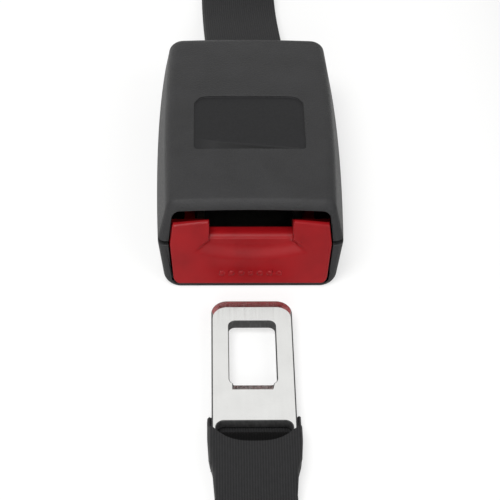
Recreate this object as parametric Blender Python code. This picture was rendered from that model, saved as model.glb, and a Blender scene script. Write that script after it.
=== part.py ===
"""Seat belt extender: an end-release buckle, a folded webbing strap and a tongue.

Metres, +Z up. X is the width, +Y points from the buckle's mouth to its strap, and
Z = 0 is the table. The origin lies on the table, under the middle of the buckle.
The strap leaves the buckle, turns onto its edge, runs round beside the buckle and
comes back flat into the tongue, which lies in front of the buckle's mouth.
"""

import math

import bmesh
import bpy
import numpy as np
from mathutils import Matrix, Vector

# Fits between pieces
GAP = 0.0003              # between pieces that touch
SLIDE = 0.0004            # between a moving piece and what guides it
SKIM = 0.0001             # keeps faces of joined shapes out of one plane
CUT = 0.002               # how far a cutter reaches past what it cuts

# Housing of the buckle
FRONT_Y = -0.037          # foot of the front face
REAR_Y = 0.0414
HEIGHT = 0.025
LEAN = 0.0076             # how far the front face leans back over its height
SEAM_Z = 0.013
SEAM_GAP = 0.0006
HALF_SEAM = 0.025         # half widths at the front
HALF_TOP = 0.0221
HALF_FOOT = 0.023
TAPER = 0.0013            # loss of half width at the seam and the foot from front to rear
TAPER_POWER = 4
BULGE = 0.0009            # gain of half width halfway along
REAR_DROP = 0.0025        # how much lower the roof is at the rear
FRONT_DROP = 0.0004
FRONT_DROP_REACH = 0.016
DROP_START_Y = -0.005
CROWN = 0.0006
ROOF_EDGE_R = 0.0034
FOOT_EDGE_R = 0.0032
SEAM_EDGE_R = 0.006
FRONT_EDGE_R = 0.0020
REAR_EDGE_R = 0.0045
FOOT_INSET = 0.15         # share of an end edge's rounding that the foot takes
FILLET_SHARE = 0.7        # of the wall above the seam, the most that each of its fillets takes

# Walls
WALL_SEAM = 0.0029
WALL_ROOF_CORNER = 0.0012
WALL_FOOT_CORNER = 0.0019
ROOF = 0.0024
FLOOR = 0.0010
REAR_WALL = 0.0022

# Label recess on the roof
LABEL_HALF = 0.0153
LABEL_FRONT_Y = -0.0095
LABEL_REAR_Y = 0.0120
LABEL_DEPTH = 0.0004
LABEL_R_FRONT = 0.0012
LABEL_R_REAR = 0.0040
LABEL_CUT_RISE = 0.004

# Tongue plate
PLATE_T = 0.0030
PLATE_HALF = 0.01065
PLATE_TIP_Y = -0.0460
PLATE_UNDER_Z = 0.0019
TIP_BAR = 0.0072
HOLE_HALF = 0.0061
HOLE_LENGTH = 0.0205
HOLE_R = 0.0017
TIP_R = 0.0042
BASE_SOLID = 0.0114       # metal between the latch hole and the strap slot
SLOT_HALF = 0.0096
SLOT_LENGTH = 0.0068
SLOT_R = 0.0020
END_BAR = 0.0058
TIP_LEAD = 0.0025         # lead-in slope on the tip
TIP_LEAD_DROP = 0.0005

# Mouth and button
MOUTH_HEIGHT = 0.0044     # of the space that the tongue slides in
DECK_CLEAR = 0.0012       # between the channel's deck and the roof
NOTCH_SIDE_ROOM = 0.00055
BUTTON_RECESS = -0.0006   # it stands this much proud of the front
BUTTON_TRAVEL = 0.005
HORN_RISE = 0.0049        # of the button's horns beside the mouth
HORN_WALL = 0.0014
BUTTON_WALL = 0.0022
BUTTON_SKIN = 0.0016      # its floor, sides and the shelf under the mouth
BUTTON_EDGE_R = 0.0008
BUTTON_RIM = 0.0004       # rounding of its front edge
DISH_HALF = 0.0170
DISH_RISE = 0.0085
DISH_DEPTH = 0.0013
DISH_REACH = 0.0070
ARM_WIDTH = 0.0030
ARM_OVER_PIN = 0.0020
ARM_END_Y = 0.0015
PIP_SIZE = 0.0011
PIP_HEIGHT = 0.00025
PIP_COUNT = 7
PIP_PITCH = 0.0026
PIP_Z = 0.0046

# Steel channel
STEEL_T = 0.0020
CHANNEL_INNER_HALF = 0.0125
CHANNEL_FRONT_Y = -0.0170
CHANNEL_DECK_END_Y = 0.0205
CHANNEL_REAR_Y = 0.0305
CHANNEL_BEND_R = 0.0022
EAR_OVER_BAR = 0.0029
GUIDE_T = 0.0022
GUIDE_LEAD = 0.0010
GUIDE_CLEAR = 0.0022      # from the guide to the latch
WINDOW_SIDE_ROOM = 0.0008
WINDOW_END_ROOM = 0.0015
SPRING_TAB_HALF = 0.0040
SPRING_TAB_T = 0.0010

# Latch and ejector
PIVOT_Y = 0.0140
PIVOT_DROP = 0.0025       # below the mouth's floor
PIVOT_R = 0.0015
KNUCKLE_R = 0.0029
KNUCKLE_HALF = 0.0070
LATCH_HALF = 0.0095
LATCH_T = 0.0022
LATCH_REACH = 0.0230
LATCH_NECK = 0.0012       # between its plate and its knuckle
TOOTH_HALF = 0.0050
TOOTH_LENGTH = 0.0040
TOOTH_TOP = 0.0077        # above the pivot when the latch is up
TOOTH_LEAD = 0.0012
TOOTH_LEAD_DROP = 0.0022
LATCH_SWING = math.radians(14)
EJECTOR_T = 0.0028
EJECTOR_FRONT_Y = -0.0106
EJECTOR_TRAVEL = 0.0120
EJECTOR_TOOTH_ROOM = 0.0007
EJECTOR_BRIDGE_Y = -0.0010
EJECTOR_REAR_Y = 0.0030
EJECTOR_EAR_T = 0.0018
EJECTOR_EAR_FRONT_Y = -0.0040
EJECTOR_EAR_LENGTH = 0.0060
SPIGOT_R = 0.0008
SPIGOT_LENGTH = 0.0030

# Lock pin, springs and fasteners
LOCK_PIN_Y = -0.0020
LOCK_PIN_R = 0.0009
BUTTON_SPRING_LENGTH = 0.0112
BUTTON_SPRING_R = 0.0014
BUTTON_SPRING_WIRE_R = 0.0003
EJECTOR_SPRING_R = 0.0012
EJECTOR_SPRING_WIRE_R = 0.00025
STOP_RIB_T = 0.0020
LATCH_SPRING_R = 0.0021
LATCH_SPRING_WIRE_R = 0.0003
LATCH_SPRING_LEG = 0.0090
LATCH_SPRING_INSET = 0.0010   # from the knuckle's end to the first turn
LATCH_SPRING_RUN = 0.0026
LATCH_SPRING_TAIL = 0.0055
LATCH_POST_DROP = 0.0035      # from the pivot down to the top of the post behind the tail
LATCH_POST_WIDTH = 0.0042
COIL_SIDES = 5
COIL_STEPS = 10               # points in a turn
PIN_HEAD_R = 0.0024
PIN_HEAD_T = 0.0006
CLIP_R = 0.0029
CLIP_T = 0.0006
CLIP_MOUTH_HALF = 0.0010
SCREW_Y = 0.0275
SCREW_R = 0.0010
SCREW_HEAD_R = 0.0018
SCREW_HEAD_T = 0.0013
SCREW_LENGTH = 0.0120
SCREW_SINK = 0.0003
SCREW_TIP_ROOM = 0.0010
SCREW_CROSS_HALF = 0.0011
SCREW_CROSS_T = 0.0004
SCREW_CROSS_DEPTH = 0.0007
BOSS_WALL = 0.0010
TAB_T = 0.0011
TAB_LENGTH = 0.0080
TAB_REACH = 0.0032
TAB_CLEAR = 0.0010
TAB_Y = -0.0140

# Strap
STRAP_HALF = 0.0117
STRAP_SIDE_ROOM = 0.0010
STRAP_EDGE = 0.0016       # depth of its rounded edges
STRAP_MOUTH_BELOW = 0.0042    # height of the slot in the rear wall, below and above the bar
STRAP_MOUTH_ABOVE = 0.0034
STRAP_T = 0.0030
LAYER = 0.0013            # one layer of the folded webbing
BAR_Y = 0.0260
BAR_Z = 0.0116
BAR_R = 0.0030
REST_GAP = 0.0002         # under the lowest edge of the strap
POCKET_HALF = 0.0118      # the pocket that the tongue's base sits in
NECK_HALF = 0.0101
POCKET_LEAN = 0.0090      # how far its upper layer ends behind its lower one
POCKET_OVERLAP = 0.0033   # how far its lower layer reaches past the slot
FLARE_LENGTH = 0.0042     # over which the webbing opens round the plate
FLARE_RISE = 0.0011
LOOP_CLOSED_Y = 0.0425    # where the loop's two layers meet
LOOP_SPREAD = 0.0056      # what the loop adds to the thickness where it leaves the bar
NECK_START_Y = -0.1250    # where the strap starts to narrow towards the tongue
STITCH_R = 0.00025
STITCH_HALF = 0.0085
STITCH_SWING = 0.0010
STITCH_TURNS = 28
STITCH_LIFT = 0.0004
STITCH_PLACES = (0.0455, 0.0490, -0.1122, -0.1157)

# The strap's centre line: x, y, z and twist in degrees, chosen by hand
ROUTE = [
    (0.0000, 0.0300, BAR_Z, 0),
    (0.0000, 0.0400, 0.0110, 0),
    (-0.0004, 0.0520, 0.0087, 0),
    (-0.0010, 0.0640, 0.0055, 0),
    (-0.0015, 0.0760, 0.0029, 0),
    (-0.0017, 0.0880, 0.0026, 4),
    (-0.0006, 0.1030, 0.0062, 22),
    (0.0024, 0.1200, 0.0103, 50),
    (0.0086, 0.1370, 0.0119, 80),
    (0.0262, 0.1546, 0.0119, 90),
    (0.0502, 0.1610, 0.0119, 90),
    (0.0742, 0.1546, 0.0119, 90),
    (0.0918, 0.1370, 0.0119, 90),
    (0.0982, 0.1130, 0.0119, 90),
    (0.0986, 0.0600, 0.0119, 90),
    (0.0986, -0.0100, 0.0119, 90),
    (0.0986, -0.0800, 0.0119, 90),
    (0.0982, -0.1370, 0.0119, 90),
    (0.0918, -0.1610, 0.0119, 90),
    (0.0742, -0.1786, 0.0119, 90),
    (0.0502, -0.1850, 0.0119, 90),
    (0.0262, -0.1786, 0.0119, 90),
    (0.0086, -0.1610, 0.0119, 80),
    (0.0024, -0.1440, 0.0103, 50),
    (0.0003, -0.1280, 0.0062, 22),
    (0.0000, -0.1150, 0.0026, 3),
    (0.0000, -0.1070, 0.0027, 0),
]
ROUTE_STEP = 0.0065

COLOURS = {
    "black_plastic": ("3a3a3b", 0.55, 0.0),
    "red_plastic": ("9a1b21", 0.35, 0.0),
    "natural_plastic": ("c9c5b8", 0.45, 0.0),
    "bright_steel": ("dcdcdc", 0.22, 1.0),
    "plated_steel": ("a8a59a", 0.35, 1.0),
    "spring_steel": ("8d9094", 0.30, 1.0),
    "webbing": ("303031", 0.85, 0.0),
    "thread": ("3c3c3d", 0.80, 0.0),
}

# Values that follow from the sizes above
DECK_UNDER_Z = HEIGHT - ROOF - DECK_CLEAR - STEEL_T
MOUTH_FLOOR_Z = DECK_UNDER_Z - MOUTH_HEIGHT
HORN_TOP_Z = MOUTH_FLOOR_Z + HORN_RISE
PIVOT_Z = MOUTH_FLOOR_Z - PIVOT_DROP
LATCH_UNDER = LATCH_T / 2 / math.cos(LATCH_SWING)
PIN_TO_PIVOT = PIVOT_Y - LOCK_PIN_Y + LOCK_PIN_R
LATCH_LOW_Z = PIVOT_Z - PIN_TO_PIVOT * math.tan(LATCH_SWING) - LATCH_UNDER
LOCK_PIN_Z = (FLOOR + LATCH_LOW_Z) / 2
CHANNEL_OUTER_HALF = CHANNEL_INNER_HALF + STEEL_T
CHANNEL_FOOT_Z = FLOOR + GAP
ARM_INNER = CHANNEL_OUTER_HALF + 2 * GAP
ARM_OUTER = ARM_INNER + ARM_WIDTH
ARM_LOW_Z = FLOOR + GAP + SKIM
ARM_HIGH_Z = LOCK_PIN_Z + ARM_OVER_PIN
EAR_TOP_Z = BAR_Z + BAR_R + EAR_OVER_BAR
NOTCH_HALF = PLATE_HALF + NOTCH_SIDE_ROOM
BUTTON_REAR_Y = CHANNEL_FRONT_Y - BUTTON_TRAVEL - SLIDE
EJECTOR_TOP_Z = DECK_UNDER_Z - GAP
EJECTOR_LOW_Z = EJECTOR_TOP_Z - EJECTOR_T
EJECTOR_Z = (EJECTOR_LOW_Z + EJECTOR_TOP_Z) / 2
LATCH_FRONT_Y = PIVOT_Y - LATCH_REACH
BOSS_R = SCREW_R + BOSS_WALL
SCREW_X = CHANNEL_OUTER_HALF + SCREW_HEAD_R + BOSS_WALL + GAP
PLATE_TOP_Z = PLATE_UNDER_Z + PLATE_T
HOLE_REAR_Y = PLATE_TIP_Y - TIP_BAR
HOLE_FRONT_Y = HOLE_REAR_Y - HOLE_LENGTH
SLOT_REAR_Y = HOLE_FRONT_Y - BASE_SOLID
SLOT_FRONT_Y = SLOT_REAR_Y - SLOT_LENGTH
PLATE_END_Y = SLOT_FRONT_Y - END_BAR
POCKET_TOP_Z = PLATE_TOP_Z + GAP + LAYER
POCKET_LIP_Y = SLOT_REAR_Y + POCKET_OVERLAP
SPRING_X = (ARM_INNER + ARM_OUTER) / 2
SPRING_Z = (ARM_LOW_Z + ARM_HIGH_Z) / 2
SPACE_WALLS = (WALL_SEAM, WALL_ROOF_CORNER, WALL_FOOT_CORNER, ROOF, FLOOR)
SPACE_RADII = (FOOT_EDGE_R - FLOOR, SEAM_EDGE_R - WALL_SEAM, ROOF_EDGE_R - ROOF / 2)
WIDE = HALF_SEAM + BULGE + CUT    # half length of cutters that pass through from side to side


def clear_scene():
    for old in list(bpy.data.objects):
        bpy.data.objects.remove(old, do_unlink=True)


def linear(channel):
    """One sRGB channel, 0 to 1, as linear light."""
    if channel <= 0.04045:
        return channel / 12.92
    return ((channel + 0.055) / 1.055) ** 2.4


def material(name):
    """The Principled material of that name, made on its first use."""
    made = bpy.data.materials.get(name)
    if made:
        return made
    colour, roughness, metallic = COLOURS[name]
    rgb = [linear(int(colour[i:i + 2], 16) / 255) for i in (0, 2, 4)]
    made = bpy.data.materials.new(name)
    made.use_nodes = True
    shader = made.node_tree.nodes["Principled BSDF"]
    shader.inputs["Base Color"].default_value = (*rgb, 1)
    shader.inputs["Roughness"].default_value = roughness
    shader.inputs["Metallic"].default_value = metallic
    made.diffuse_color = (*rgb, 1)
    return made


def solid(name, rings, finish=None):
    """A closed skin over rings of points, each with as many points, and flat end caps."""
    mesh = bpy.data.meshes.new(name)
    shape = bmesh.new()
    loops = [[shape.verts.new(Vector(point)) for point in ring] for ring in rings]
    count = len(loops[0])
    for lower, upper in zip(loops, loops[1:]):
        for i in range(count):
            j = (i + 1) % count
            shape.faces.new((lower[i], lower[j], upper[j], upper[i]))
    shape.faces.new(loops[0])
    shape.faces.new(loops[-1])
    bmesh.ops.recalc_face_normals(shape, faces=shape.faces)
    shape.to_mesh(mesh)
    shape.free()
    mesh.shade_smooth()
    mesh.set_sharp_from_angle(angle=math.radians(35))
    made = bpy.data.objects.new(name, mesh)
    bpy.context.scene.collection.objects.link(made)
    if finish:
        mesh.materials.append(material(finish))
    else:
        made.hide_render = True
        made.display_type = "WIRE"
    return made


def prism(name, outline, axis, low, high, finish=None):
    """An outline in the two other axes, in X, Y, Z order, extruded along one axis."""
    rings = []
    for level in (low, high):
        rings.append([np.insert(np.array(point, float), "XYZ".index(axis), level) for point in outline])
    return solid(name, rings, finish)


def block(name, x, y, z, finish=None):
    """A box between the two ends given for each axis."""
    outline = [(x[0], y[0]), (x[1], y[0]), (x[1], y[1]), (x[0], y[1])]
    return prism(name, outline, "Z", z[0], z[1], finish)


def circle(centre, radius, sides):
    turns = [2 * math.pi * i / sides for i in range(sides)]
    return [(centre[0] + radius * math.cos(a), centre[1] + radius * math.sin(a)) for a in turns]


def rod(name, centre, radius, axis, low, high, finish=None, sides=20):
    """A round bar along one axis."""
    return prism(name, circle(centre, radius, sides), axis, low, high, finish)


def rounded(corners, radii, steps=4):
    """The polygon with each corner turned into an arc of its radius."""
    points = []
    for i, corner in enumerate(corners):
        here = Vector(corner)
        before = (Vector(corners[i - 1]) - here).normalized()
        after = (Vector(corners[(i + 1) % len(corners)]) - here).normalized()
        half = before.angle(after) / 2
        centre = here + (before + after).normalized() * radii[i] / math.sin(half)
        start = here + before * radii[i] / math.tan(half) - centre
        end = here + after * radii[i] / math.tan(half) - centre
        turn = start.angle_signed(end)
        for k in range(steps + 1):
            angle = -turn * k / steps
            spun = Vector((start.x * math.cos(angle) - start.y * math.sin(angle),
                           start.x * math.sin(angle) + start.y * math.cos(angle)))
            points.append(tuple(centre + spun))
    return points


def boolean(target, tool, operation):
    step = target.modifiers.new(tool.name, "BOOLEAN")
    step.operation = operation
    step.solver = "EXACT"
    step.object = tool
    tool.hide_render = True
    tool.display_type = "WIRE"


def subtract(target, *tools):
    for tool in tools:
        boolean(target, tool, "DIFFERENCE")


def unite(target, *tools):
    for tool in tools:
        boolean(target, tool, "UNION")


def move_origin(part, point):
    """Puts the object's origin on a point, such as one on its joint's axis."""
    part.data.transform(Matrix.Translation(-Vector(point)))
    part.location = point


def front_y(z):
    """Where the leaning front face is at a height."""
    return FRONT_Y + LEAN * z / HEIGHT


def ramp(value):
    return min(max(value, 0.0), 1.0)


def roof_z(y):
    rear = ramp((y - DROP_START_Y) / (REAR_Y - DROP_START_Y))
    front = ramp((FRONT_Y + FRONT_DROP_REACH - y) / FRONT_DROP_REACH)
    return HEIGHT - REAR_DROP * rear ** 2 - FRONT_DROP * front ** 2


def housing_ring(y, inset=0.0, walls=(0, 0, 0, 0, 0),
                 radii=(FOOT_EDGE_R, SEAM_EDGE_R, ROOF_EDGE_R)):
    """One closed section of the housing, leaning as the front does, or of the space inside it.

    walls holds what comes off at the seam, the roof's corners, the foot's corners, the
    roof and the floor, and radii those of the foot's, the seam's and the roof's corners.
    """
    seam, roof_corner, foot_corner, roof, floor = walls
    share = ramp((y - FRONT_Y) / (REAR_Y - FRONT_Y))
    bulge = BULGE * 4 * share * (1 - share)
    taper = TAPER * share ** TAPER_POWER - bulge
    top = roof_z(y) - roof - inset
    foot = floor + FOOT_INSET * inset
    half_top = HALF_TOP + bulge - roof_corner - inset
    half_seam = HALF_SEAM - taper - seam - inset
    half_foot = HALF_FOOT - taper - foot_corner - inset
    r_foot, r_seam, r_top = radii
    most = FILLET_SHARE * (top - SEAM_Z)
    r_seam, r_top = min(r_seam, most), min(r_top, most)
    corners = [(-half_foot, foot), (half_foot, foot), (half_seam, SEAM_Z),
               (half_top, top), (-half_top, top), (-half_seam, SEAM_Z)]
    outline = rounded(corners, (r_foot, r_foot, r_seam, r_top, r_top, r_seam))
    lean = LEAN * (1 - share)
    ring = []
    for x, z in outline:
        lift = ramp((z - SEAM_Z) / (top - SEAM_Z)) ** 2
        z += CROWN * lift * (1 - (x / half_seam) ** 2)
        ring.append((x, y + lean * z / HEIGHT, z))
    return ring


def edge_stations(start_y, radius, turns, direction):
    """Places and insets of sections that round an end edge to a radius."""
    stations = []
    for degrees in turns:
        angle = math.radians(degrees)
        depth = radius * (1 - math.cos(angle))
        stations.append((start_y + direction * depth, radius * (1 - math.sin(angle))))
    return stations


def between(low, high, parts):
    """The places that divide a stretch into equal parts, without its ends."""
    return [low + (high - low) * i / parts for i in range(1, parts)]


def housing_body():
    stations = edge_stations(FRONT_Y, FRONT_EDGE_R, (0, 30, 60, 90), 1)
    stations += [(y, 0) for y in between(FRONT_Y + FRONT_EDGE_R, REAR_Y - REAR_EDGE_R, 6)]
    stations += edge_stations(REAR_Y, REAR_EDGE_R, (90, 65, 40, 18, 0), -1)
    return solid("housing_body", [housing_ring(y, inset) for y, inset in stations])


def housing_space():
    """The hollow of the housing, open through its front face."""
    end_y = REAR_Y - REAR_WALL
    stations = [(FRONT_Y - CUT, 0), (FRONT_Y, 0)]
    stations += [(y, 0) for y in between(FRONT_Y, end_y - REAR_EDGE_R + REAR_WALL, 6)]
    stations += edge_stations(end_y, REAR_EDGE_R - REAR_WALL, (90, 45, 0), -1)
    rings = [housing_ring(y, inset, SPACE_WALLS, SPACE_RADII) for y, inset in stations]
    return solid("housing_space", rings)


def label_recess():
    """A plain sunk field on the roof, with its rear corners rounded more than its front ones."""
    outline = rounded(
        [(-LABEL_HALF, LABEL_FRONT_Y), (LABEL_HALF, LABEL_FRONT_Y),
         (LABEL_HALF, LABEL_REAR_Y), (-LABEL_HALF, LABEL_REAR_Y)],
        (LABEL_R_FRONT, LABEL_R_FRONT, LABEL_R_REAR, LABEL_R_REAR), 3)
    rings = []
    for above in (-LABEL_DEPTH, LABEL_CUT_RISE):
        rings.append([(x, y, roof_z(y) + CROWN * (1 - (x / HALF_SEAM) ** 2) + above)
                      for x, y in outline])
    return solid("label_recess", rings)


def make_shells():
    space = housing_space()
    mouth_half = STRAP_HALF + STRAP_SIDE_ROOM
    strap_mouth = block("strap_mouth", (-mouth_half, mouth_half),
                        (REAR_Y - REAR_EDGE_R - CUT, REAR_Y + CUT),
                        (BAR_Z - STRAP_MOUTH_BELOW, BAR_Z + STRAP_MOUTH_ABOVE))
    length = (FRONT_Y - CUT, REAR_Y + CUT)
    over = block("over_seam", (-WIDE, WIDE), length, (SEAM_Z - SEAM_GAP / 2, HEIGHT + CUT))
    under = block("under_seam", (-WIDE, WIDE), length, (-CUT, SEAM_Z + SEAM_GAP / 2))

    upper = housing_body()
    upper.name = "upper_shell"
    upper.data.materials.append(material("black_plastic"))
    upper.hide_render = False
    upper.display_type = "TEXTURED"
    lower = upper.copy()
    lower.data = upper.data.copy()
    lower.name = "lower_shell"
    bpy.context.scene.collection.objects.link(lower)

    subtract(upper, space, strap_mouth, under, label_recess())
    subtract(lower, space, strap_mouth, over)
    for side in (-1, 1):
        add_boss(upper, lower, side)
        add_tab(upper, side)
        x = sorted((side * ARM_INNER, side * ARM_OUTER))
        stop_y = ARM_END_Y + BUTTON_SPRING_LENGTH + 2 * GAP
        stop = block("spring_stop", x, (stop_y, stop_y + STOP_RIB_T), (FLOOR / 2, ARM_HIGH_Z))
        unite(lower, stop)
    post_y = PIVOT_Y + LATCH_SPRING_R + LATCH_SPRING_WIRE_R + GAP
    leg_post = block("leg_post", (KNUCKLE_HALF, KNUCKLE_HALF + LATCH_POST_WIDTH),
                     (post_y, post_y + STOP_RIB_T), (FLOOR / 2, PIVOT_Z - LATCH_POST_DROP))
    unite(lower, leg_post)


def add_boss(upper, lower, side):
    """A post under the roof for one screw, and its sunk seat in the floor."""
    place = (side * SCREW_X, SCREW_Y)
    seat_top = FLOOR + SCREW_HEAD_T + BOSS_WALL
    post = rod("post", place, BOSS_R, "Z", seat_top + GAP, roof_z(SCREW_Y) - ROOF / 2, sides=16)
    bore = rod("bore", place, SCREW_R + GAP / 2, "Z", 0, SCREW_LENGTH + SCREW_TIP_ROOM, sides=12)
    unite(upper, post)
    subtract(upper, bore)
    seat = rod("seat", place, SCREW_HEAD_R + BOSS_WALL, "Z", FLOOR / 2, seat_top, sides=16)
    sink = rod("sink", place, SCREW_HEAD_R + GAP, "Z", -CUT, SCREW_SINK + SCREW_HEAD_T + GAP,
               sides=16)
    unite(lower, seat)
    subtract(lower, bore, sink)


def add_tab(upper, side):
    """A tongue under the seam of the upper shell that slips inside the lower shell's wall."""
    length = (TAB_Y - TAB_LENGTH / 2, TAB_Y + TAB_LENGTH / 2)
    inner = HALF_SEAM - WALL_SEAM - TAB_CLEAR
    ends = sorted((side * (inner - TAB_T), side * (HALF_SEAM - WALL_SEAM / 2)))
    root = block("tab_root", ends, length, (SEAM_Z + SEAM_GAP, SEAM_Z + TAB_REACH))
    ends = sorted((side * (inner - TAB_T), side * inner))
    tab = block("tab", ends, length, (SEAM_Z - TAB_REACH, SEAM_Z + TAB_REACH - GAP))
    unite(upper, root, tab)


def make_button():
    """The red button: its own thin box behind the mouth, a notch for the tongue and two arms."""
    walls = [wall + SLIDE for wall in SPACE_WALLS[:-1]] + [FLOOR + GAP]
    radii = (*SPACE_RADII[:-1], BUTTON_EDGE_R)
    stations = edge_stations(FRONT_Y + BUTTON_RECESS, BUTTON_RIM, (0, 90), 1)
    stations.append((BUTTON_REAR_Y - LEAN, 0))
    rings = [housing_ring(y, inset, walls, radii) for y, inset in stations]
    button = solid("release_button", rings, "red_plastic")
    over_horns = block("over_horns", (-WIDE, WIDE), (FRONT_Y, 0), (HORN_TOP_Z, HEIGHT))
    notch = block("notch", (-NOTCH_HALF, NOTCH_HALF), (FRONT_Y, 0), (MOUTH_FLOOR_Z, HEIGHT))
    half = HALF_FOOT - WALL_FOOT_CORNER - SLIDE - BUTTON_SKIN
    rings = []
    for z in (FLOOR + GAP + BUTTON_SKIN, MOUTH_FLOOR_Z - BUTTON_SKIN):
        y = front_y(z) + BUTTON_RECESS + BUTTON_WALL
        rings.append([(-half, y, z), (half, y, z), (half, 0, z), (-half, 0, z)])
    hollow = solid("button_hollow", rings)
    dish = dish_cutter()
    low, high = MOUTH_FLOOR_Z + SKIM, HORN_TOP_Z + CUT
    inner = [(front_y(z) + BUTTON_RECESS + HORN_WALL, z) for z in (low, high)]
    behind = prism("behind_horns", inner + [(0, high), (0, low)], "X", -WIDE, WIDE)
    subtract(button, over_horns, notch, hollow, dish, behind)
    for side in (-1, 1):
        x = sorted((side * ARM_INNER, side * ARM_OUTER))
        arm = block("arm", x, (front_y(ARM_LOW_Z) + BUTTON_WALL, ARM_END_Y), (ARM_LOW_Z, ARM_HIGH_Z))
        unite(button, arm)
    pin_hole = rod("pin_hole", (LOCK_PIN_Y, LOCK_PIN_Z), LOCK_PIN_R + GAP / 2, "X", -WIDE, WIDE)
    subtract(button, pin_hole)
    for i in range(PIP_COUNT):
        x = (i - (PIP_COUNT - 1) / 2) * PIP_PITCH
        y = front_y(PIP_Z) + BUTTON_RECESS
        pip = block("pip", (x - PIP_SIZE / 2, x + PIP_SIZE / 2), (y - PIP_HEIGHT, y + PIP_SIZE),
                    (PIP_Z - PIP_SIZE / 2, PIP_Z + PIP_SIZE / 2))
        unite(button, pip)
    move_origin(button, (0, LOCK_PIN_Y, LOCK_PIN_Z))

    pin = rod("lock_pin", (LOCK_PIN_Y, LOCK_PIN_Z), LOCK_PIN_R, "X",
              -ARM_OUTER, ARM_OUTER, "plated_steel", sides=16)
    move_origin(pin, (0, LOCK_PIN_Y, LOCK_PIN_Z))


def dish_cutter():
    """A flattened ball that scoops a finger dish below the notch."""
    centre = Vector((0, front_y(MOUTH_FLOOR_Z) + BUTTON_RECESS + DISH_DEPTH - DISH_REACH,
                     MOUTH_FLOOR_Z))
    rings = []
    for up in np.radians(np.linspace(3, 177, 9)):
        level = DISH_RISE * math.cos(up)
        rings.append([centre + Vector((DISH_HALF * x, DISH_REACH * y, level))
                      for x, y in circle((0, 0), math.sin(up), 24)])
    return solid("dish", rings)


def channel_outline():
    """The bent sheet in section: a deck on top and a wall down each side."""
    half, inner = CHANNEL_OUTER_HALF, CHANNEL_INNER_HALF
    top = DECK_UNDER_Z + STEEL_T
    outer = rounded([(half, CHANNEL_FOOT_Z), (half, top), (-half, top), (-half, CHANNEL_FOOT_Z)],
                    (SKIM, CHANNEL_BEND_R, CHANNEL_BEND_R, SKIM), 3)
    inner_edge = [(-inner, CHANNEL_FOOT_Z), (-inner, DECK_UNDER_Z),
                  (inner, DECK_UNDER_Z), (inner, CHANNEL_FOOT_Z)]
    corner = outer[4:-4]
    return [(half, CHANNEL_FOOT_Z)] + corner + [(-half, CHANNEL_FOOT_Z)] + inner_edge


def make_channel():
    channel = prism("steel_channel", channel_outline(), "Y", CHANNEL_FRONT_Y, CHANNEL_REAR_Y,
                    "plated_steel")
    over_deck = DECK_UNDER_Z + STEEL_T + CUT
    rear = block("rear_cut", (-WIDE, WIDE), (CHANNEL_DECK_END_Y, CHANNEL_REAR_Y + CUT),
                 (EAR_TOP_Z, over_deck))
    half = TOOTH_HALF + WINDOW_SIDE_ROOM
    window = block("window", (-half, half),
                   (LATCH_FRONT_Y - WINDOW_END_ROOM, LATCH_FRONT_Y + TOOTH_LENGTH + WINDOW_END_ROOM),
                   (DECK_UNDER_Z - CUT, over_deck))
    room = LOCK_PIN_R + SLIDE
    pin_slot = block("pin_slot", (-WIDE, WIDE),
                     (LOCK_PIN_Y - room, LOCK_PIN_Y + BUTTON_TRAVEL + room),
                     (LOCK_PIN_Z - room, LOCK_PIN_Z + room))
    ear_room = EJECTOR_EAR_T / 2 + GAP
    ear_end = EJECTOR_EAR_FRONT_Y + EJECTOR_EAR_LENGTH + EJECTOR_TRAVEL + SLIDE
    ear_slot = block("ear_slot", (-WIDE, WIDE), (EJECTOR_EAR_FRONT_Y - SLIDE, ear_end),
                     (EJECTOR_Z - ear_room, EJECTOR_Z + ear_room))
    pivot = rod("pivot_hole", (PIVOT_Y, PIVOT_Z), PIVOT_R + GAP / 2, "X", -WIDE, WIDE, sides=16)
    bar = rod("bar_hole", (BAR_Y, BAR_Z), BAR_R + GAP / 2, "X", -WIDE, WIDE)
    subtract(channel, rear, window, pin_slot, ear_slot, pivot, bar)
    tab_end = CHANNEL_DECK_END_Y - GAP
    tab = block("spring_tab", (-SPRING_TAB_HALF, SPRING_TAB_HALF), (tab_end - SPRING_TAB_T, tab_end),
                (EJECTOR_LOW_Z - GAP, DECK_UNDER_Z + STEEL_T / 2))
    unite(channel, tab)

    top = MOUTH_FLOOR_Z - GAP
    guide = block("tongue_guide", (-CHANNEL_INNER_HALF + GAP, CHANNEL_INNER_HALF - GAP),
                  (CHANNEL_FRONT_Y, LATCH_FRONT_Y - GUIDE_CLEAR), (top - GUIDE_T, top),
                  "natural_plastic")
    before = CHANNEL_FRONT_Y - CUT
    lead = prism("guide_lead", [(before, top - GUIDE_LEAD - CUT), (before, top + CUT),
                                (CHANNEL_FRONT_Y + GUIDE_LEAD + CUT, top + CUT)], "X", -WIDE, WIDE)
    subtract(guide, lead)

    reach = CHANNEL_OUTER_HALF + GAP
    rod("strap_bar", (BAR_Y, BAR_Z), BAR_R, "X", -reach, reach, "plated_steel")


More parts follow.
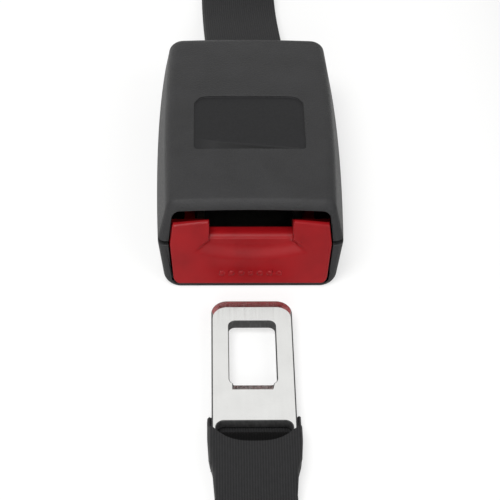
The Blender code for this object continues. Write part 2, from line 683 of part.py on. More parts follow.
def make_latch():
    """The locking plate, drawn level and then dropped about its pivot to its rest."""
    low, high = PIVOT_Z - LATCH_T / 2, PIVOT_Z + LATCH_T / 2
    plate_end = PIVOT_Y - KNUCKLE_R - LATCH_NECK
    latch = block("latch", (-LATCH_HALF, LATCH_HALF), (LATCH_FRONT_Y, plate_end),
                  (low, high), "plated_steel")
    neck = block("neck", (-KNUCKLE_HALF, KNUCKLE_HALF), (plate_end - LATCH_T, PIVOT_Y),
                 (low + SKIM, high - SKIM))
    knuckle = rod("knuckle", (PIVOT_Y, PIVOT_Z), KNUCKLE_R, "X", -KNUCKLE_HALF, KNUCKLE_HALF)
    top = PIVOT_Z + TOOTH_TOP
    front = LATCH_FRONT_Y
    tooth = prism("tooth", [(front, PIVOT_Z), (front + TOOTH_LENGTH, PIVOT_Z),
                            (front + TOOTH_LENGTH, top), (front + TOOTH_LEAD, top),
                            (front, top - TOOTH_LEAD_DROP)], "X", -TOOTH_HALF, TOOTH_HALF)
    unite(latch, neck, knuckle, tooth)
    bore = rod("latch_bore", (PIVOT_Y, PIVOT_Z), PIVOT_R + GAP / 2, "X", -WIDE, WIDE, sides=16)
    subtract(latch, bore)
    pivot = Vector((0, PIVOT_Y, PIVOT_Z))
    for piece in (latch, neck, knuckle, tooth, bore):
        move_origin(piece, pivot)
        piece.rotation_euler.x = LATCH_SWING

    face = CHANNEL_OUTER_HALF + GAP
    pin = rod("latch_pivot_pin", (PIVOT_Y, PIVOT_Z), PIVOT_R, "X",
              -face - PIN_HEAD_T / 2, face + CLIP_T + GAP, "plated_steel", sides=16)
    head = rod("pin_head", (PIVOT_Y, PIVOT_Z), PIN_HEAD_R, "X", -face - PIN_HEAD_T, -face, sides=16)
    unite(pin, head)
    clip = rod("pivot_clip", (PIVOT_Y, PIVOT_Z), CLIP_R, "X", face, face + CLIP_T,
               "spring_steel", sides=16)
    hole = rod("clip_hole", (PIVOT_Y, PIVOT_Z), PIVOT_R + GAP / 2, "X", 0, WIDE, sides=16)
    mouth = block("clip_mouth", (0, WIDE), (PIVOT_Y, PIVOT_Y + CLIP_R + CUT),
                  (PIVOT_Z - CLIP_MOUTH_HALF, PIVOT_Z + CLIP_MOUTH_HALF))
    subtract(clip, hole, mouth)


def make_ejector():
    """A fork that straddles the latch's tooth, with ears that run in slots of the channel."""
    wide = CHANNEL_INNER_HALF - SLIDE
    arm_inner = TOOTH_HALF + EJECTOR_TOOTH_ROOM
    height = (EJECTOR_LOW_Z, EJECTOR_TOP_Z)
    ejector = block("ejector", (-wide, wide), (EJECTOR_FRONT_Y, EJECTOR_REAR_Y), height,
                    "natural_plastic")
    reach = CHANNEL_OUTER_HALF - SLIDE
    ears = block("ears", (-reach, reach),
                 (EJECTOR_EAR_FRONT_Y, EJECTOR_EAR_FRONT_Y + EJECTOR_EAR_LENGTH),
                 (EJECTOR_Z - EJECTOR_EAR_T / 2, EJECTOR_Z + EJECTOR_EAR_T / 2))
    between = block("between_arms", (-arm_inner, arm_inner),
                    (EJECTOR_FRONT_Y - CUT, EJECTOR_BRIDGE_Y),
                    (EJECTOR_LOW_Z - CUT, EJECTOR_TOP_Z + CUT))
    spigot = rod("spigot", (0, EJECTOR_Z), SPIGOT_R, "Y", EJECTOR_REAR_Y - SPIGOT_R,
                 EJECTOR_REAR_Y + SPIGOT_LENGTH, sides=10)
    unite(ejector, ears)
    subtract(ejector, between)
    unite(ejector, spigot)
    move_origin(ejector, (0, EJECTOR_REAR_Y, EJECTOR_Z))


def tube(name, path, radius, sides, finish):
    """A round wire along a list of points."""
    rings = []
    up = Vector((0, 0, 1))
    for i, point in enumerate(path):
        ahead = path[min(i + 1, len(path) - 1)]
        behind = path[max(i - 1, 0)]
        along = (ahead - behind).normalized()
        side = along.cross(up).normalized()
        up = side.cross(along)
        rings.append([point + radius * (math.cos(a) * side + math.sin(a) * up)
                      for a in (2 * math.pi * k / sides for k in range(sides))])
    return solid(name, rings, finish)


def coil(name, x, z, start_y, end_y, radius, wire, turns):
    """A compression spring along Y, its end turns closed up."""
    path = []
    steps = turns * COIL_STEPS
    length = end_y - start_y - 2 * wire
    for i in range(steps + 1):
        share = i / steps
        eased = share - math.sin(2 * math.pi * share) / 18
        angle = 2 * math.pi * turns * share
        path.append(Vector((x + radius * math.cos(angle), start_y + wire + eased * length,
                            z + radius * math.sin(angle))))
    return tube(name, path, wire, COIL_SIDES, "spring_steel")


def make_springs():
    start = ARM_END_Y + GAP
    for name, side in (("button_spring_left", -1), ("button_spring_right", 1)):
        coil(name, side * SPRING_X, SPRING_Z, start, start + BUTTON_SPRING_LENGTH,
             BUTTON_SPRING_R, BUTTON_SPRING_WIRE_R, 6)
    coil("ejector_spring", 0, EJECTOR_Z, EJECTOR_REAR_Y + GAP,
         CHANNEL_DECK_END_Y - SPRING_TAB_T - 2 * GAP, EJECTOR_SPRING_R, EJECTOR_SPRING_WIRE_R, 7)
    make_latch_spring()


def make_latch_spring():
    """A torsion spring beside the knuckle: a leg under the latch, turns, and a tail on its post."""
    x = KNUCKLE_HALF + LATCH_SPRING_INSET
    under_latch = LATCH_SPRING_LEG * math.tan(LATCH_SWING) + LATCH_UNDER
    path = [Vector((x, PIVOT_Y - LATCH_SPRING_LEG,
                    PIVOT_Z - under_latch - LATCH_SPRING_WIRE_R - GAP))]
    turns = 2.25
    steps = round(turns * COIL_STEPS)
    for i in range(steps + 1):
        angle = 2 * math.pi * (turns * i / steps - 0.25)
        path.append(Vector((x + LATCH_SPRING_RUN * i / steps,
                            PIVOT_Y + LATCH_SPRING_R * math.cos(angle),
                            PIVOT_Z + LATCH_SPRING_R * math.sin(angle))))
    path.append(path[-1] - Vector((0, 0, LATCH_SPRING_TAIL)))
    tube("latch_spring", path, LATCH_SPRING_WIRE_R, COIL_SIDES, "spring_steel")


def make_screws():
    """Two screws with crossed slots that enter from below and hold the shells together."""
    for name, side in (("shell_screw_left", -1), ("shell_screw_right", 1)):
        x, y = side * SCREW_X, SCREW_Y
        head_top = SCREW_SINK + SCREW_HEAD_T
        screw = rod(name, (x, y), SCREW_HEAD_R, "Z", SCREW_SINK, head_top, "plated_steel", sides=16)
        shank = rod("shank", (x, y), SCREW_R, "Z", head_top - SCREW_HEAD_T / 4, SCREW_LENGTH,
                    sides=12)
        unite(screw, shank)
        long, thin = SCREW_CROSS_HALF, SCREW_CROSS_T / 2
        depth = (-CUT, SCREW_SINK + SCREW_CROSS_DEPTH)
        subtract(screw, block("slot_a", (x - long, x + long), (y - thin, y + thin), depth),
                 block("slot_b", (x - thin, x + thin), (y - long, y + long), depth))


def route():
    """The strap's centre line as points with twists, from a natural cubic through ROUTE."""
    knots = np.array([(x, y, z, math.radians(twist)) for x, y, z, twist in ROUTE])
    spans = np.linalg.norm(np.diff(knots[:, :3], axis=0), axis=1)
    places = np.concatenate([[0], np.cumsum(spans)])
    count = len(knots)
    system = np.eye(count)
    right = np.zeros((count, 4))
    for i in range(1, count - 1):
        system[i, i - 1:i + 2] = spans[i - 1], 2 * (spans[i - 1] + spans[i]), spans[i]
        right[i] = 6 * ((knots[i + 1] - knots[i]) / spans[i] - (knots[i] - knots[i - 1]) / spans[i - 1])
    bend = np.linalg.solve(system, right)
    samples = []
    for i in range(count - 1):
        steps = max(1, round(spans[i] / ROUTE_STEP))
        for k in range(steps + (i == count - 2)):
            t = k / steps
            u = 1 - t
            h = spans[i]
            samples.append(u * knots[i] + t * knots[i + 1]
                           + h * h / 6 * ((u ** 3 - u) * bend[i] + (t ** 3 - t) * bend[i + 1]))
    samples = np.array(samples)
    twist = np.clip(samples[:, 3], 0, math.pi / 2)
    least = STRAP_HALF * np.sin(twist) + STRAP_T / 2 * np.cos(twist) + REST_GAP
    samples[:, 2] = np.maximum(samples[:, 2], least)
    return samples[:, :3], twist


def ribbon_frames(points, twist):
    """Direction, width and face vectors of the ribbon at each point."""
    along = np.gradient(points, axis=0)
    along /= np.linalg.norm(along, axis=1)[:, None]
    up = np.array([0.0, 0.0, 1.0])
    level = np.cross(along, up)
    level /= np.linalg.norm(level, axis=1)[:, None]
    lifted = np.cross(level, along)
    width = np.cos(twist)[:, None] * level + np.sin(twist)[:, None] * lifted
    return along, width, np.cross(width, along)


def strap_section(half, thick):
    """Width and face offsets round the folded webbing, its edges rounded."""
    edge = min(thick / 2, STRAP_EDGE)
    flat = half - edge
    h = thick / 2
    return [(-half, 0), (-flat - 0.3 * edge, -0.75 * h), (-flat, -h), (0, -h), (flat, -h),
            (flat + 0.3 * edge, -0.75 * h), (half, 0), (flat + 0.3 * edge, 0.75 * h), (flat, h),
            (0, h), (-flat, h), (-flat - 0.3 * edge, 0.75 * h)]


def strap_rings():
    """The strap from its loop on the bar, along the route, to its pocket at the tongue."""
    loop_r = BAR_R + GAP + LAYER
    rings = []
    for angle in (8, 30, 55, 80, 100):
        y = BAR_Y - loop_r * math.cos(math.radians(angle))
        thick = 2 * loop_r * math.sin(math.radians(angle))
        rings.append([(w, y, BAR_Z + n) for w, n in strap_section(STRAP_HALF, thick)])
    points, twist = route()
    _, width, face = ribbon_frames(points, twist)
    loop_end = points[0][1]
    route_end = points[-1][1]
    for i, point in enumerate(points):
        open_loop = ramp((LOOP_CLOSED_Y - point[1]) / (LOOP_CLOSED_Y - loop_end))
        narrow = ramp((point[1] - NECK_START_Y) / (route_end - NECK_START_Y))
        at_bar = point[0] < STRAP_HALF and point[1] > 0
        at_tongue = point[0] < STRAP_HALF and point[1] < 0
        thick = STRAP_T + LOOP_SPREAD * open_loop * at_bar
        half = STRAP_HALF - (STRAP_HALF - NECK_HALF) * narrow * at_tongue
        rings.append([tuple(point + w * width[i] + n * face[i])
                      for w, n in strap_section(half, thick)])
    span = POCKET_TOP_Z - REST_GAP
    for y, half, top in pocket_stations():
        lean = POCKET_LEAN if y == POCKET_LIP_Y else 0.0
        middle = (REST_GAP + top) / 2
        rings.append([(w, y - lean * (middle + n - REST_GAP) / span, middle + n)
                      for w, n in strap_section(half, top - REST_GAP)])
    return rings


def pocket_stations():
    """Place, half width and top of the sections where the webbing opens round the tongue."""
    stations = []
    for along, opened in ((0, 0), (0.8, 0.7), (1.4, 1)):
        stations.append((PLATE_END_Y - FLARE_LENGTH * (1 - along),
                         NECK_HALF + (POCKET_HALF - NECK_HALF) * opened,
                         POCKET_TOP_Z - FLARE_RISE * (1 - opened)))
    stations.append((POCKET_LIP_Y, POCKET_HALF, POCKET_TOP_Z))
    return stations


def make_strap():
    """The folded webbing, one piece from the bar in the buckle to the tongue's slot."""
    strap = solid("strap", strap_rings(), "webbing")
    bore = rod("strap_bore", (BAR_Y, BAR_Z), BAR_R + GAP, "X", -WIDE, WIDE)
    half = PLATE_HALF + GAP
    pocket = block("pocket", (-half, half), (PLATE_END_Y - GAP, POCKET_LIP_Y + CUT),
                   (PLATE_UNDER_Z - GAP, PLATE_TOP_Z + GAP))
    half = SLOT_HALF - SLOT_R / 2 - GAP
    fold_y = SLOT_FRONT_Y + GAP
    fold = block("slot_fold", (-half, half), (fold_y, fold_y + 2 * LAYER),
                 (PLATE_UNDER_Z - GAP - LAYER / 2, PLATE_TOP_Z + GAP + LAYER / 2))
    subtract(strap, bore, pocket)
    unite(strap, fold)


def make_tongue():
    outline = rounded([(-PLATE_HALF, PLATE_END_Y), (PLATE_HALF, PLATE_END_Y),
                       (PLATE_HALF, PLATE_TIP_Y), (-PLATE_HALF, PLATE_TIP_Y)],
                      (SLOT_R, SLOT_R, TIP_R, TIP_R), 6)
    plate = prism("tongue_plate", outline, "Z", PLATE_UNDER_Z, PLATE_TOP_Z, "bright_steel")
    openings = (("latch_hole", HOLE_HALF, HOLE_FRONT_Y, HOLE_REAR_Y, HOLE_R),
                ("strap_slot", SLOT_HALF, SLOT_FRONT_Y, SLOT_REAR_Y, SLOT_R))
    for name, half, low, high, radius in openings:
        edge = rounded([(-half, low), (half, low), (half, high), (-half, high)], [radius] * 4, 4)
        subtract(plate, prism(name, edge, "Z", PLATE_UNDER_Z - CUT, PLATE_TOP_Z + CUT))
    start, end = PLATE_TIP_Y - TIP_LEAD, PLATE_TIP_Y + CUT
    end_z = PLATE_TOP_Z - TIP_LEAD_DROP * (TIP_LEAD + CUT) / TIP_LEAD
    above = PLATE_TOP_Z + CUT
    lead = prism("tip_lead", [(start, PLATE_TOP_Z), (end, end_z), (end, above), (start, above)],
                 "X", -WIDE, WIDE)
    subtract(plate, lead)


def place_at(y):
    """The strap's point and its three directions where it crosses y at the buckle or the tongue."""
    points, twist = route()
    frames = np.hstack([points, *ribbon_frames(points, twist)])
    frames = frames[(points[:, 0] < STRAP_HALF) & (points[:, 1] * y > 0)]
    frames = frames[np.argsort(frames[:, 1])]
    return np.array([np.interp(y, frames[:, 1], column) for column in frames.T]).reshape(4, 3)


def make_stitches():
    """Bar tacks: one thread zigzagging across the strap on its upper face."""
    for number, y in enumerate(STITCH_PLACES, 1):
        middle, along, width, face = place_at(y)
        lift = STRAP_T / 2 + STITCH_R + STITCH_LIFT
        path = []
        for k in range(STITCH_TURNS + 1):
            across = STITCH_HALF * (2 * k / STITCH_TURNS - 1)
            swing = STITCH_SWING if k % 2 else -STITCH_SWING
            path.append(Vector(middle + across * width + swing * along + lift * face))
        tube(f"stitch_row_{number}", path, STITCH_R, 4, "thread")


def main():
    clear_scene()
    make_shells()
    make_button()
    make_channel()
    make_latch()
    make_ejector()
    make_springs()
    make_screws()
    make_strap()
    make_tongue()
    make_stitches()


main()
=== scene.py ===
"""Seat belt extender: the looks of the buckle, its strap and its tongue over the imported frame.

Metres, +Z up. X is the width, +Y points from the buckle's mouth to its strap, Z = 0 is the table.
"""
import math

import bmesh
import bpy
import numpy as np
from mathutils import Matrix, Vector


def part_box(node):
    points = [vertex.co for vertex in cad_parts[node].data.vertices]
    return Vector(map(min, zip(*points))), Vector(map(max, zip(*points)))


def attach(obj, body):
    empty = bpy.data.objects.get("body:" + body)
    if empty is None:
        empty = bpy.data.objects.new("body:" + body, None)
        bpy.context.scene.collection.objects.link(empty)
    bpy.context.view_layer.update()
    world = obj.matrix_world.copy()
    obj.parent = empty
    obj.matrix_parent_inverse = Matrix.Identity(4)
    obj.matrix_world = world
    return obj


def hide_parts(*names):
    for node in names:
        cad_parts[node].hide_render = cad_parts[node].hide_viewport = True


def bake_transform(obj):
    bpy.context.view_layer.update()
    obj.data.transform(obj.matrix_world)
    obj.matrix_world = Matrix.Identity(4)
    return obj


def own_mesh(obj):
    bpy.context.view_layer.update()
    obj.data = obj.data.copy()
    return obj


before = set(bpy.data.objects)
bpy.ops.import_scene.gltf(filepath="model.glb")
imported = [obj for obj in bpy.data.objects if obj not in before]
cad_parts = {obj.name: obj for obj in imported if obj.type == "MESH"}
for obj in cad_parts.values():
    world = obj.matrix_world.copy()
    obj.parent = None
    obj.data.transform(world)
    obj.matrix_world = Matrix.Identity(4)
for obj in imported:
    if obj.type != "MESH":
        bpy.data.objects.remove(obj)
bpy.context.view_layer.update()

bl_info = {
    "name": "Belt Extender",
    "version": (1, 0, 0),
    "blender": (4, 5, 0),
    "location": "View3D > Sidebar > Belt Extender",
    "description": "Dresses the solids of a seat belt extender with moulded, plated and woven surfaces",
    "category": "Object",
}

# Fits, as in the solids
GAP = 0.0003
SLIDE = 0.0004
HUNDREDTH = 0.00001      # of a millimetre, in metres
REACH = 0.002            # how far a cutting shape reaches past what it cuts
HAIR = 0.0001            # keeps a cut off the surface beside it
LEVEL = 0.9              # a face counts as level where its normal's upright part is more than this

# Housing
FRONT_Y = -0.037
REAR_Y = 0.0414
SEAM_Z = 0.013
DROP_START_Y = -0.005
FRONT_DROP, FRONT_DROP_REACH = 0.0004, 0.016     # how much lower the roof is at its front
FRONT_R, REAR_R = 0.0020, 0.0045                 # rounding of the two end edges
FILLET_SHARE = 0.7
FOOT_INSET = 0.15         # share of the end edges' rounding by which the foot rises
OUTER_R, INNER_R = (0.0032, 0.006, 0.0034), (0.0019, 0.0031, 0.0022)     # foot, seam and roof corner
WALLS = SEAM_WALL, ROOF_CORNER_WALL, FOOT_CORNER_WALL, ROOF_WALL, FLOOR = (
    0.0029, 0.0012, 0.0019, 0.0024, 0.0010)
REAR_WALL = 0.0022
PANEL_HALF, PANEL_Y = 0.0153, (-0.0095, 0.0120)
PANEL_R = (0.0012, 0.0012, 0.0040, 0.0040)
BAR_Y, BAR_Z, BAR_R = 0.0260, 0.0116, 0.0030
POST_R, BORE_R, SEAT_R, SINK_R = 0.0020, 0.00115, 0.0028, 0.0021     # round each screw
SEAT_TOP_Z, SINK_Z = FLOOR + 0.0013 + 0.0010, 0.0019
STOP_Y, STOP_RISE = (0.0133, 0.0153), 0.0011     # of the springs' ribs, and their rise over the lock pin
LEG_POST_X, LEG_POST_Y, LEG_POST_Z = (0.0070, 0.0112), (0.0167, 0.0187), 0.0090
TAB_Y, TAB_REACH, TAB_RISE = (-0.018, -0.010), 0.0032, 0.0032        # below and above the seam
TAB_GAP, TAB_THICK = 0.0010, 0.0011

# Button
MOUTH_FLOOR_Z = 0.0150
HORN_TOP_Z = 0.0199
HORN_FALL, FALL_FROM, FALL_OVER = 0.0017, 0.45, 0.9      # of the horns' tops, in shares of half a width
HORN_BACK_DROP = 0.0012   # from the horns' tops down to where their backs start to slope
NOTCH_HALF = 0.0112
BUTTON_RECESS = -0.0006
BUTTON_SKIN = 0.0016
BUTTON_WALL = 0.0022
BUTTON_FOOT_R = 0.0019
BUTTON_BACK_Y, BACK_LEAN = -0.0300, 0.9  # of its foot, and its back's share of the front's lean
BUTTON_SOFT = 0.00015
HORN_WALL = 0.0010
HORN_SLOPE = 0.0030
LIP_ROLL, LIP_DROP = 0.0022, 0.0014      # depth and height of the rolled edge of the mouth's floor
SHELF_END_Y = -0.0284
SHELF_DROP, SHELF_CHAMFER = 0.0030, 0.0004
DISH_RISE, DISH_RISE_AT = 0.0024, 0.0164         # of the dish's lower edge, at this half width
DISH_TOP_Z, DISH_TOP_SLOPE = 0.0149, 0.86        # of its upper edge beside the notch
DISH_EASE = (0.0042, 0.0016)             # heights over which it deepens, from below and above
PIP_Z, PIP_ROUND = 0.0046, 0.3
PIP_RINGS = ((1, -0.0004), (1, 0.00012), (0.93, 0.00020), (0.80, 0.00025))    # scale and rise
ARM_X = (0.0151, 0.0181)
ARM_Y, ARM_FOOT_Z, ARM_RISE = (-0.0334, 0.0015), 0.0014, 0.0020      # over the lock pin's middle
PIN_HOLE_R = 0.00105
ACROSS = 0.03             # half width that passes every piece of the button

# Tongue
PLATE_UNDER_Z, PLATE_TOP_Z = 0.0019, 0.0049
PLATE_HALF = 0.01065
PLATE_TIP_Y, PLATE_END_Y = -0.0460, -0.0977
HOLE_Y, HOLE_HALF, HOLE_R = (-0.0737, -0.0532), 0.0061, 0.0017
SLOT_Y, SLOT_HALF, SLOT_R = (-0.0919, -0.0851), 0.0096, 0.0020
TIP_R = 0.0042
COINED = 0.0018           # length of the coined slope at the hole's edge nearest the strap
COINED_STEEPER = 2.0      # than the slope on the tip
COINED_INSET = 0.0009

# Strap
STRAP_HALF, STRAP_HALF_THICK = 0.0117, 0.0015
STRAP_EDGE = 0.0016
PLY_PITCH = 0.0006        # of the thread's twist
SELVEDGE = 0.00055        # depth of the rounded edges of its layers
REST_GAP = 0.0002
MOUTH_SPARE, MOUTH_BELOW, MOUTH_ABOVE, MOUTH_R = 0.0010, 0.0042, 0.0034, 0.0008
MOUTH_START_Y = REAR_Y - 0.0065
LOOP_ANGLES = (8, 20, 32, 45, 60, 80, 100)
SLIT = 0.0022             # how far the gap between its layers reaches in
LOOP_SLIT, SLIT_GAIN, SLIT_LOSS = 0.004, 0.010, 0.0014   # at the bar, towards it, at the pocket
NARROWING = ((-0.140, -0.125, -0.112, -0.106), (0.0117, 0.0110, 0.0102, 0.0100))     # y and half width
POCKET_STRETCHES = ((-0.1060, -0.0981, 14), (-0.0972, -0.0818, 12))      # from, to and sections
POCKET_WIDENING = ((-0.106, -0.100, -0.0965, -0.088), (0.0100, 0.0105, 0.0114, 0.0118))
POCKET_OPEN_Y, POCKET_LIP_Y = POCKET_STRETCHES[0][1], POCKET_STRETCHES[1][1]
POCKET_BACK_Y, POCKET_OPENS_OVER = -0.1074, 0.0093
POCKET_TOP_Z, POCKET_SWELL = 0.0065, 0.0008
POCKET_RIM = 0.0003
FOLD_SPARE = 0.0008       # between the fold and the slot's ends
POCKET_LEAN = 0.0058
POCKET_BOW = 0.0046       # how much further back its upper lip lies in the middle
LOOP_CLOSED_Y = 0.0425
LOOP_SPREAD = 0.0056
STITCH_PLACES = (0.0455, 0.0490, -0.1122, -0.1157)
STITCH_HALF = 0.0085
STITCH_TURNS = 28
ROUTE_STEP = 0.0022

# Springs of the button and the ejector: joint and its travel
TRAVELS = {"button_spring_left": ("button_slide", 0.0050),
           "button_spring_right": ("button_slide", 0.0050),
           "ejector_spring": ("ejector_slide", 0.0120)}
LATCH_LEG, LATCH_TAIL, LATCH_COIL_R, LATCH_COIL_RUN, LATCH_TURNS = 0.0090, 0.0055, 0.0021, 0.0026, 2.25
LATCH_SWING = math.radians(14)
LATCH_UNDER = 0.0011      # from the latch's pivot down to its lower face

# Stage
FLOOR_HALF = 2.0
FLOOR_GLOW = 0.6          # share of plain white in what the camera sees of it
LAMPS = (("key_lamp", (-0.30, -0.22, 1.15), 0.7, "key_power"),
         ("fill_lamp", (0.75, -0.55, 0.85), 0.8, "fill_power"),
         ("edge_lamp", (-0.10, -0.80, 0.42), 0.30, "edge_power"))
LAMP_TARGET = (0, -0.03, 0.01)
CAMERA_TARGET, CAMERA_SHIFT = (0, -0.031, 0.012), (0.00019, 0.0026)

# The strap's centre line, as in the solids: x, y, z and twist in degrees
ROUTE = [
    (0.0000, 0.0300, BAR_Z, 0), (0.0000, 0.0400, 0.0110, 0), (-0.0004, 0.0520, 0.0087, 0),
    (-0.0010, 0.0640, 0.0055, 0), (-0.0015, 0.0760, 0.0029, 0), (-0.0017, 0.0880, 0.0026, 4),
    (-0.0006, 0.1030, 0.0062, 22), (0.0024, 0.1200, 0.0103, 50), (0.0086, 0.1370, 0.0119, 80),
    (0.0262, 0.1546, 0.0119, 90), (0.0502, 0.1610, 0.0119, 90), (0.0742, 0.1546, 0.0119, 90),
    (0.0918, 0.1370, 0.0119, 90), (0.0982, 0.1130, 0.0119, 90), (0.0986, 0.0600, 0.0119, 90),
    (0.0986, -0.0100, 0.0119, 90), (0.0986, -0.0800, 0.0119, 90), (0.0982, -0.1370, 0.0119, 90),
    (0.0918, -0.1610, 0.0119, 90), (0.0742, -0.1786, 0.0119, 90), (0.0502, -0.1850, 0.0119, 90),
    (0.0262, -0.1786, 0.0119, 90), (0.0086, -0.1610, 0.0119, 80), (0.0024, -0.1440, 0.0103, 50),
    (0.0003, -0.1280, 0.0062, 22), (0.0000, -0.1150, 0.0026, 3), (0.0000, -0.1070, 0.0027, 0),
]

# The centre line of the webbing that turns down in the tongue's slot: y and z in hundredths of a mm
FOLD_ROUTE = [(-9440, 578), (-9360, 578), (-9260, 576), (-9150, 568), (-9060, 550), (-8980, 520),
              (-8920, 478), (-8880, 410), (-8860, 340), (-8850, 260), (-8850, 180)]


def linear(text):
    """A six-digit sRGB colour as linear red, green and blue."""
    value = np.array([int(text[i:i + 2], 16) / 255 for i in (0, 2, 4)])
    return tuple(np.where(value <= 0.04045, value / 12.92, ((value + 0.055) / 1.055) ** 2.4).tolist())


def length(name, description, default):
    return bpy.props.FloatProperty(name=name, description=description, default=default,
                                   unit="LENGTH", precision=5)


def share(name, description, default):
    return bpy.props.FloatProperty(name=name, description=description, default=default, min=0.0)


def colour(name, description, text):
    return bpy.props.FloatVectorProperty(name=name, description=description, default=linear(text),
                                         subtype="COLOR", size=3, min=0.0, max=1.0)


class HousingSettings(bpy.types.PropertyGroup):
    height: length("Height", "Height of the roof over the table", 0.025)
    lean: length("Front lean", "How far the front face leans back over its height", 0.0076)
    half_seam: length("Half width at the seam", "From the middle to the seam, at the front", 0.025)
    half_top: length("Half width at the roof", "From the middle to the roof's edge, at the front", 0.0221)
    half_foot: length("Half width at the foot", "From the middle to the foot's edge, at the front", 0.023)
    taper: length("Taper", "Loss of half width at the seam and the foot towards the rear", 0.0013)
    bulge: length("Bulge", "Gain of half width halfway along", 0.0009)
    rear_drop: length("Rear drop", "How much lower the roof is at the rear", 0.0025)
    crown: length("Crown", "Rise of the middle of the roof over its edges", 0.0006)
    seam_gap: length("Seam", "Width of the gap between the two shells", 0.0012)
    panel_depth: length("Panel depth", "Depth of the sunk panel on the roof", 0.0004)
    edge_soft: length("Softened edges", "Rounding of the shells' cut edges", 0.00015)
    black: colour("Moulding", "Colour of the textured mouldings", "232324")
    panel: colour("Panel", "Colour of the smoother sunk panel", "222223")


class ButtonSettings(bpy.types.PropertyGroup):
    dish_depth: length("Dish depth", "How deep the finger dish is under the mouth", 0.0009)
    dish_foot_z: length("Dish foot", "Height of the dish's lowest edge", 0.0082)
    edge_r: length("Front edge", "Rounding of the front face's outline", 0.0004)
    pip_size: length("Pip size", "Width of the raised pips", 0.0011)
    pip_pitch: length("Pip pitch", "Distance from pip to pip", 0.0026)
    pip_count: bpy.props.IntProperty(name="Pips", description="Number of raised pips", default=7, min=0)
    red: colour("Red", "Colour of the button", "8a0d13")


class TongueSettings(bpy.types.PropertyGroup):
    edge_r: length("Edges", "Rounding of the stamped edges", 0.00035)
    lead: length("Lead-in", "Length of the slope on the tip", 0.0025)
    lead_drop: length("Lead-in drop", "Fall of the slope on the tip", 0.0004)
    plating: colour("Plating", "Colour of the bright plating", "e9e9e8")
    sheared: colour("Cut edges", "Colour of the dull cut edges", "4a4a4a")


class StrapSettings(bpy.types.PropertyGroup):
    thickness: length("Thickness", "Of the folded webbing", 0.0030)
    layer: length("Layer", "Thickness of one layer", 0.0013)
    rib_pitch: length("Rib pitch", "Distance between the lengthwise ribs", 0.00066)
    weft_pitch: length("Weft pitch", "Distance between the crossing yarns", 0.00080)
    thread_r: length("Thread radius", "Of the sewing thread", 0.00025)
    swing: length("Stitch swing", "Half width of a row of zigzag stitches", 0.0010)
    dark: colour("Webbing, low", "Colour between the ribs", "171718")
    light: colour("Webbing, high", "Colour of the ribs", "2a2a2b")
    thread: colour("Thread", "Colour of the sewing thread", "3e3e40")


class InnerSettings(bpy.types.PropertyGroup):
    button_turns: bpy.props.IntProperty(name="Button spring turns", default=9, min=3,
                                        description="Turns of each spring behind the button")
    ejector_turns: bpy.props.IntProperty(name="Ejector spring turns", default=12, min=3,
                                         description="Turns of the spring behind the ejector")
    wire_r: length("Wire radius", "Of the button's and the latch's springs", 0.0003)
    fine_wire_r: length("Fine wire radius", "Of the ejector's spring", 0.0002)
    zinc: colour("Zinc", "Colour of the plated steel", "a8a59a")
    wire: colour("Wire", "Colour of the spring wire", "8d9094")
    acetal: colour("Acetal", "Colour of the natural mouldings", "c9c5b8")


class StageSettings(bpy.types.PropertyGroup):
    distance: length("Camera distance", "From the camera to the point that it faces", 0.400)
    elevation: share("Elevation", "Of the camera over the horizon, in degrees", 48.0)
    yaw: bpy.props.FloatProperty(name="Yaw", description="Turn of the camera about the upright, degrees",
                                 default=-2.4)
    roll: bpy.props.FloatProperty(name="Roll", description="Tilt of the picture, degrees", default=1.7)
    view_angle: share("Field of view", "Of the camera, in degrees", 19.1)
    key_power: share("Key lamp", "Power of the large lamp, watts", 9.0)
    fill_power: share("Fill lamp", "Power of the lamp on the other side, watts", 3.0)
    edge_power: share("Edge lamp", "Power of the small lamp in front, watts", 1.6)
    sky_level: share("Sky", "Strength of the light from all round", 0.45)
    floor: colour("Floor", "Colour of the floor and of what metal reflects", "f7f7f6")


# Mesh helpers

def unit(vectors):
    return vectors / np.linalg.norm(vectors, axis=-1, keepdims=True)


def ramp(value):
    return np.clip(value, 0.0, 1.0)


def eased(value):
    """A ramp from 0 to 1 that starts and ends level: 3 t squared less 2 t cubed."""
    t = ramp(value)
    return t * t * (3 - 2 * t)


def skin(rows, columns):
    """Faces of a tube of rings on a grid of rows by columns, with its two ends closed."""
    low = np.arange(rows - 1)[:, None] * columns
    here = np.arange(columns)[None, :]
    ahead = (here + 1) % columns
    faces = np.stack([low + here, low + ahead, low + columns + ahead, low + columns + here], -1)
    return [*faces.reshape(-1, 4).tolist(), list(range(columns)),
            list(range((rows - 1) * columns, rows * columns))]


def slab(front, back):
    """Points and faces of a plate between two grids of as many rows and columns."""
    rows, columns = front.shape[:2]
    index = np.arange(rows * columns).reshape(rows, columns)
    quads = np.stack([index[:-1, :-1], index[:-1, 1:], index[1:, 1:], index[1:, :-1]], -1).reshape(-1, 4)
    around = np.concatenate([index[0, :-1], index[:-1, -1], index[-1, :0:-1], index[:0:-1, 0]])
    ahead = np.roll(around, -1)
    sides = np.stack([around, ahead, ahead + index.size, around + index.size], -1)
    faces = np.concatenate([quads, quads[:, ::-1] + index.size, sides[:, ::-1]]).tolist()
    return np.stack([front, back]), faces


def join(*parts):
    """Several sets of points and faces as one."""
    points, faces, first = [], [], 0
    for part_points, part_faces in parts:
        flat = part_points.reshape(-1, 3)
        points.append(flat)
        faces += [[index + first for index in face] for face in part_faces]
        first += len(flat)
    return np.vstack(points), faces


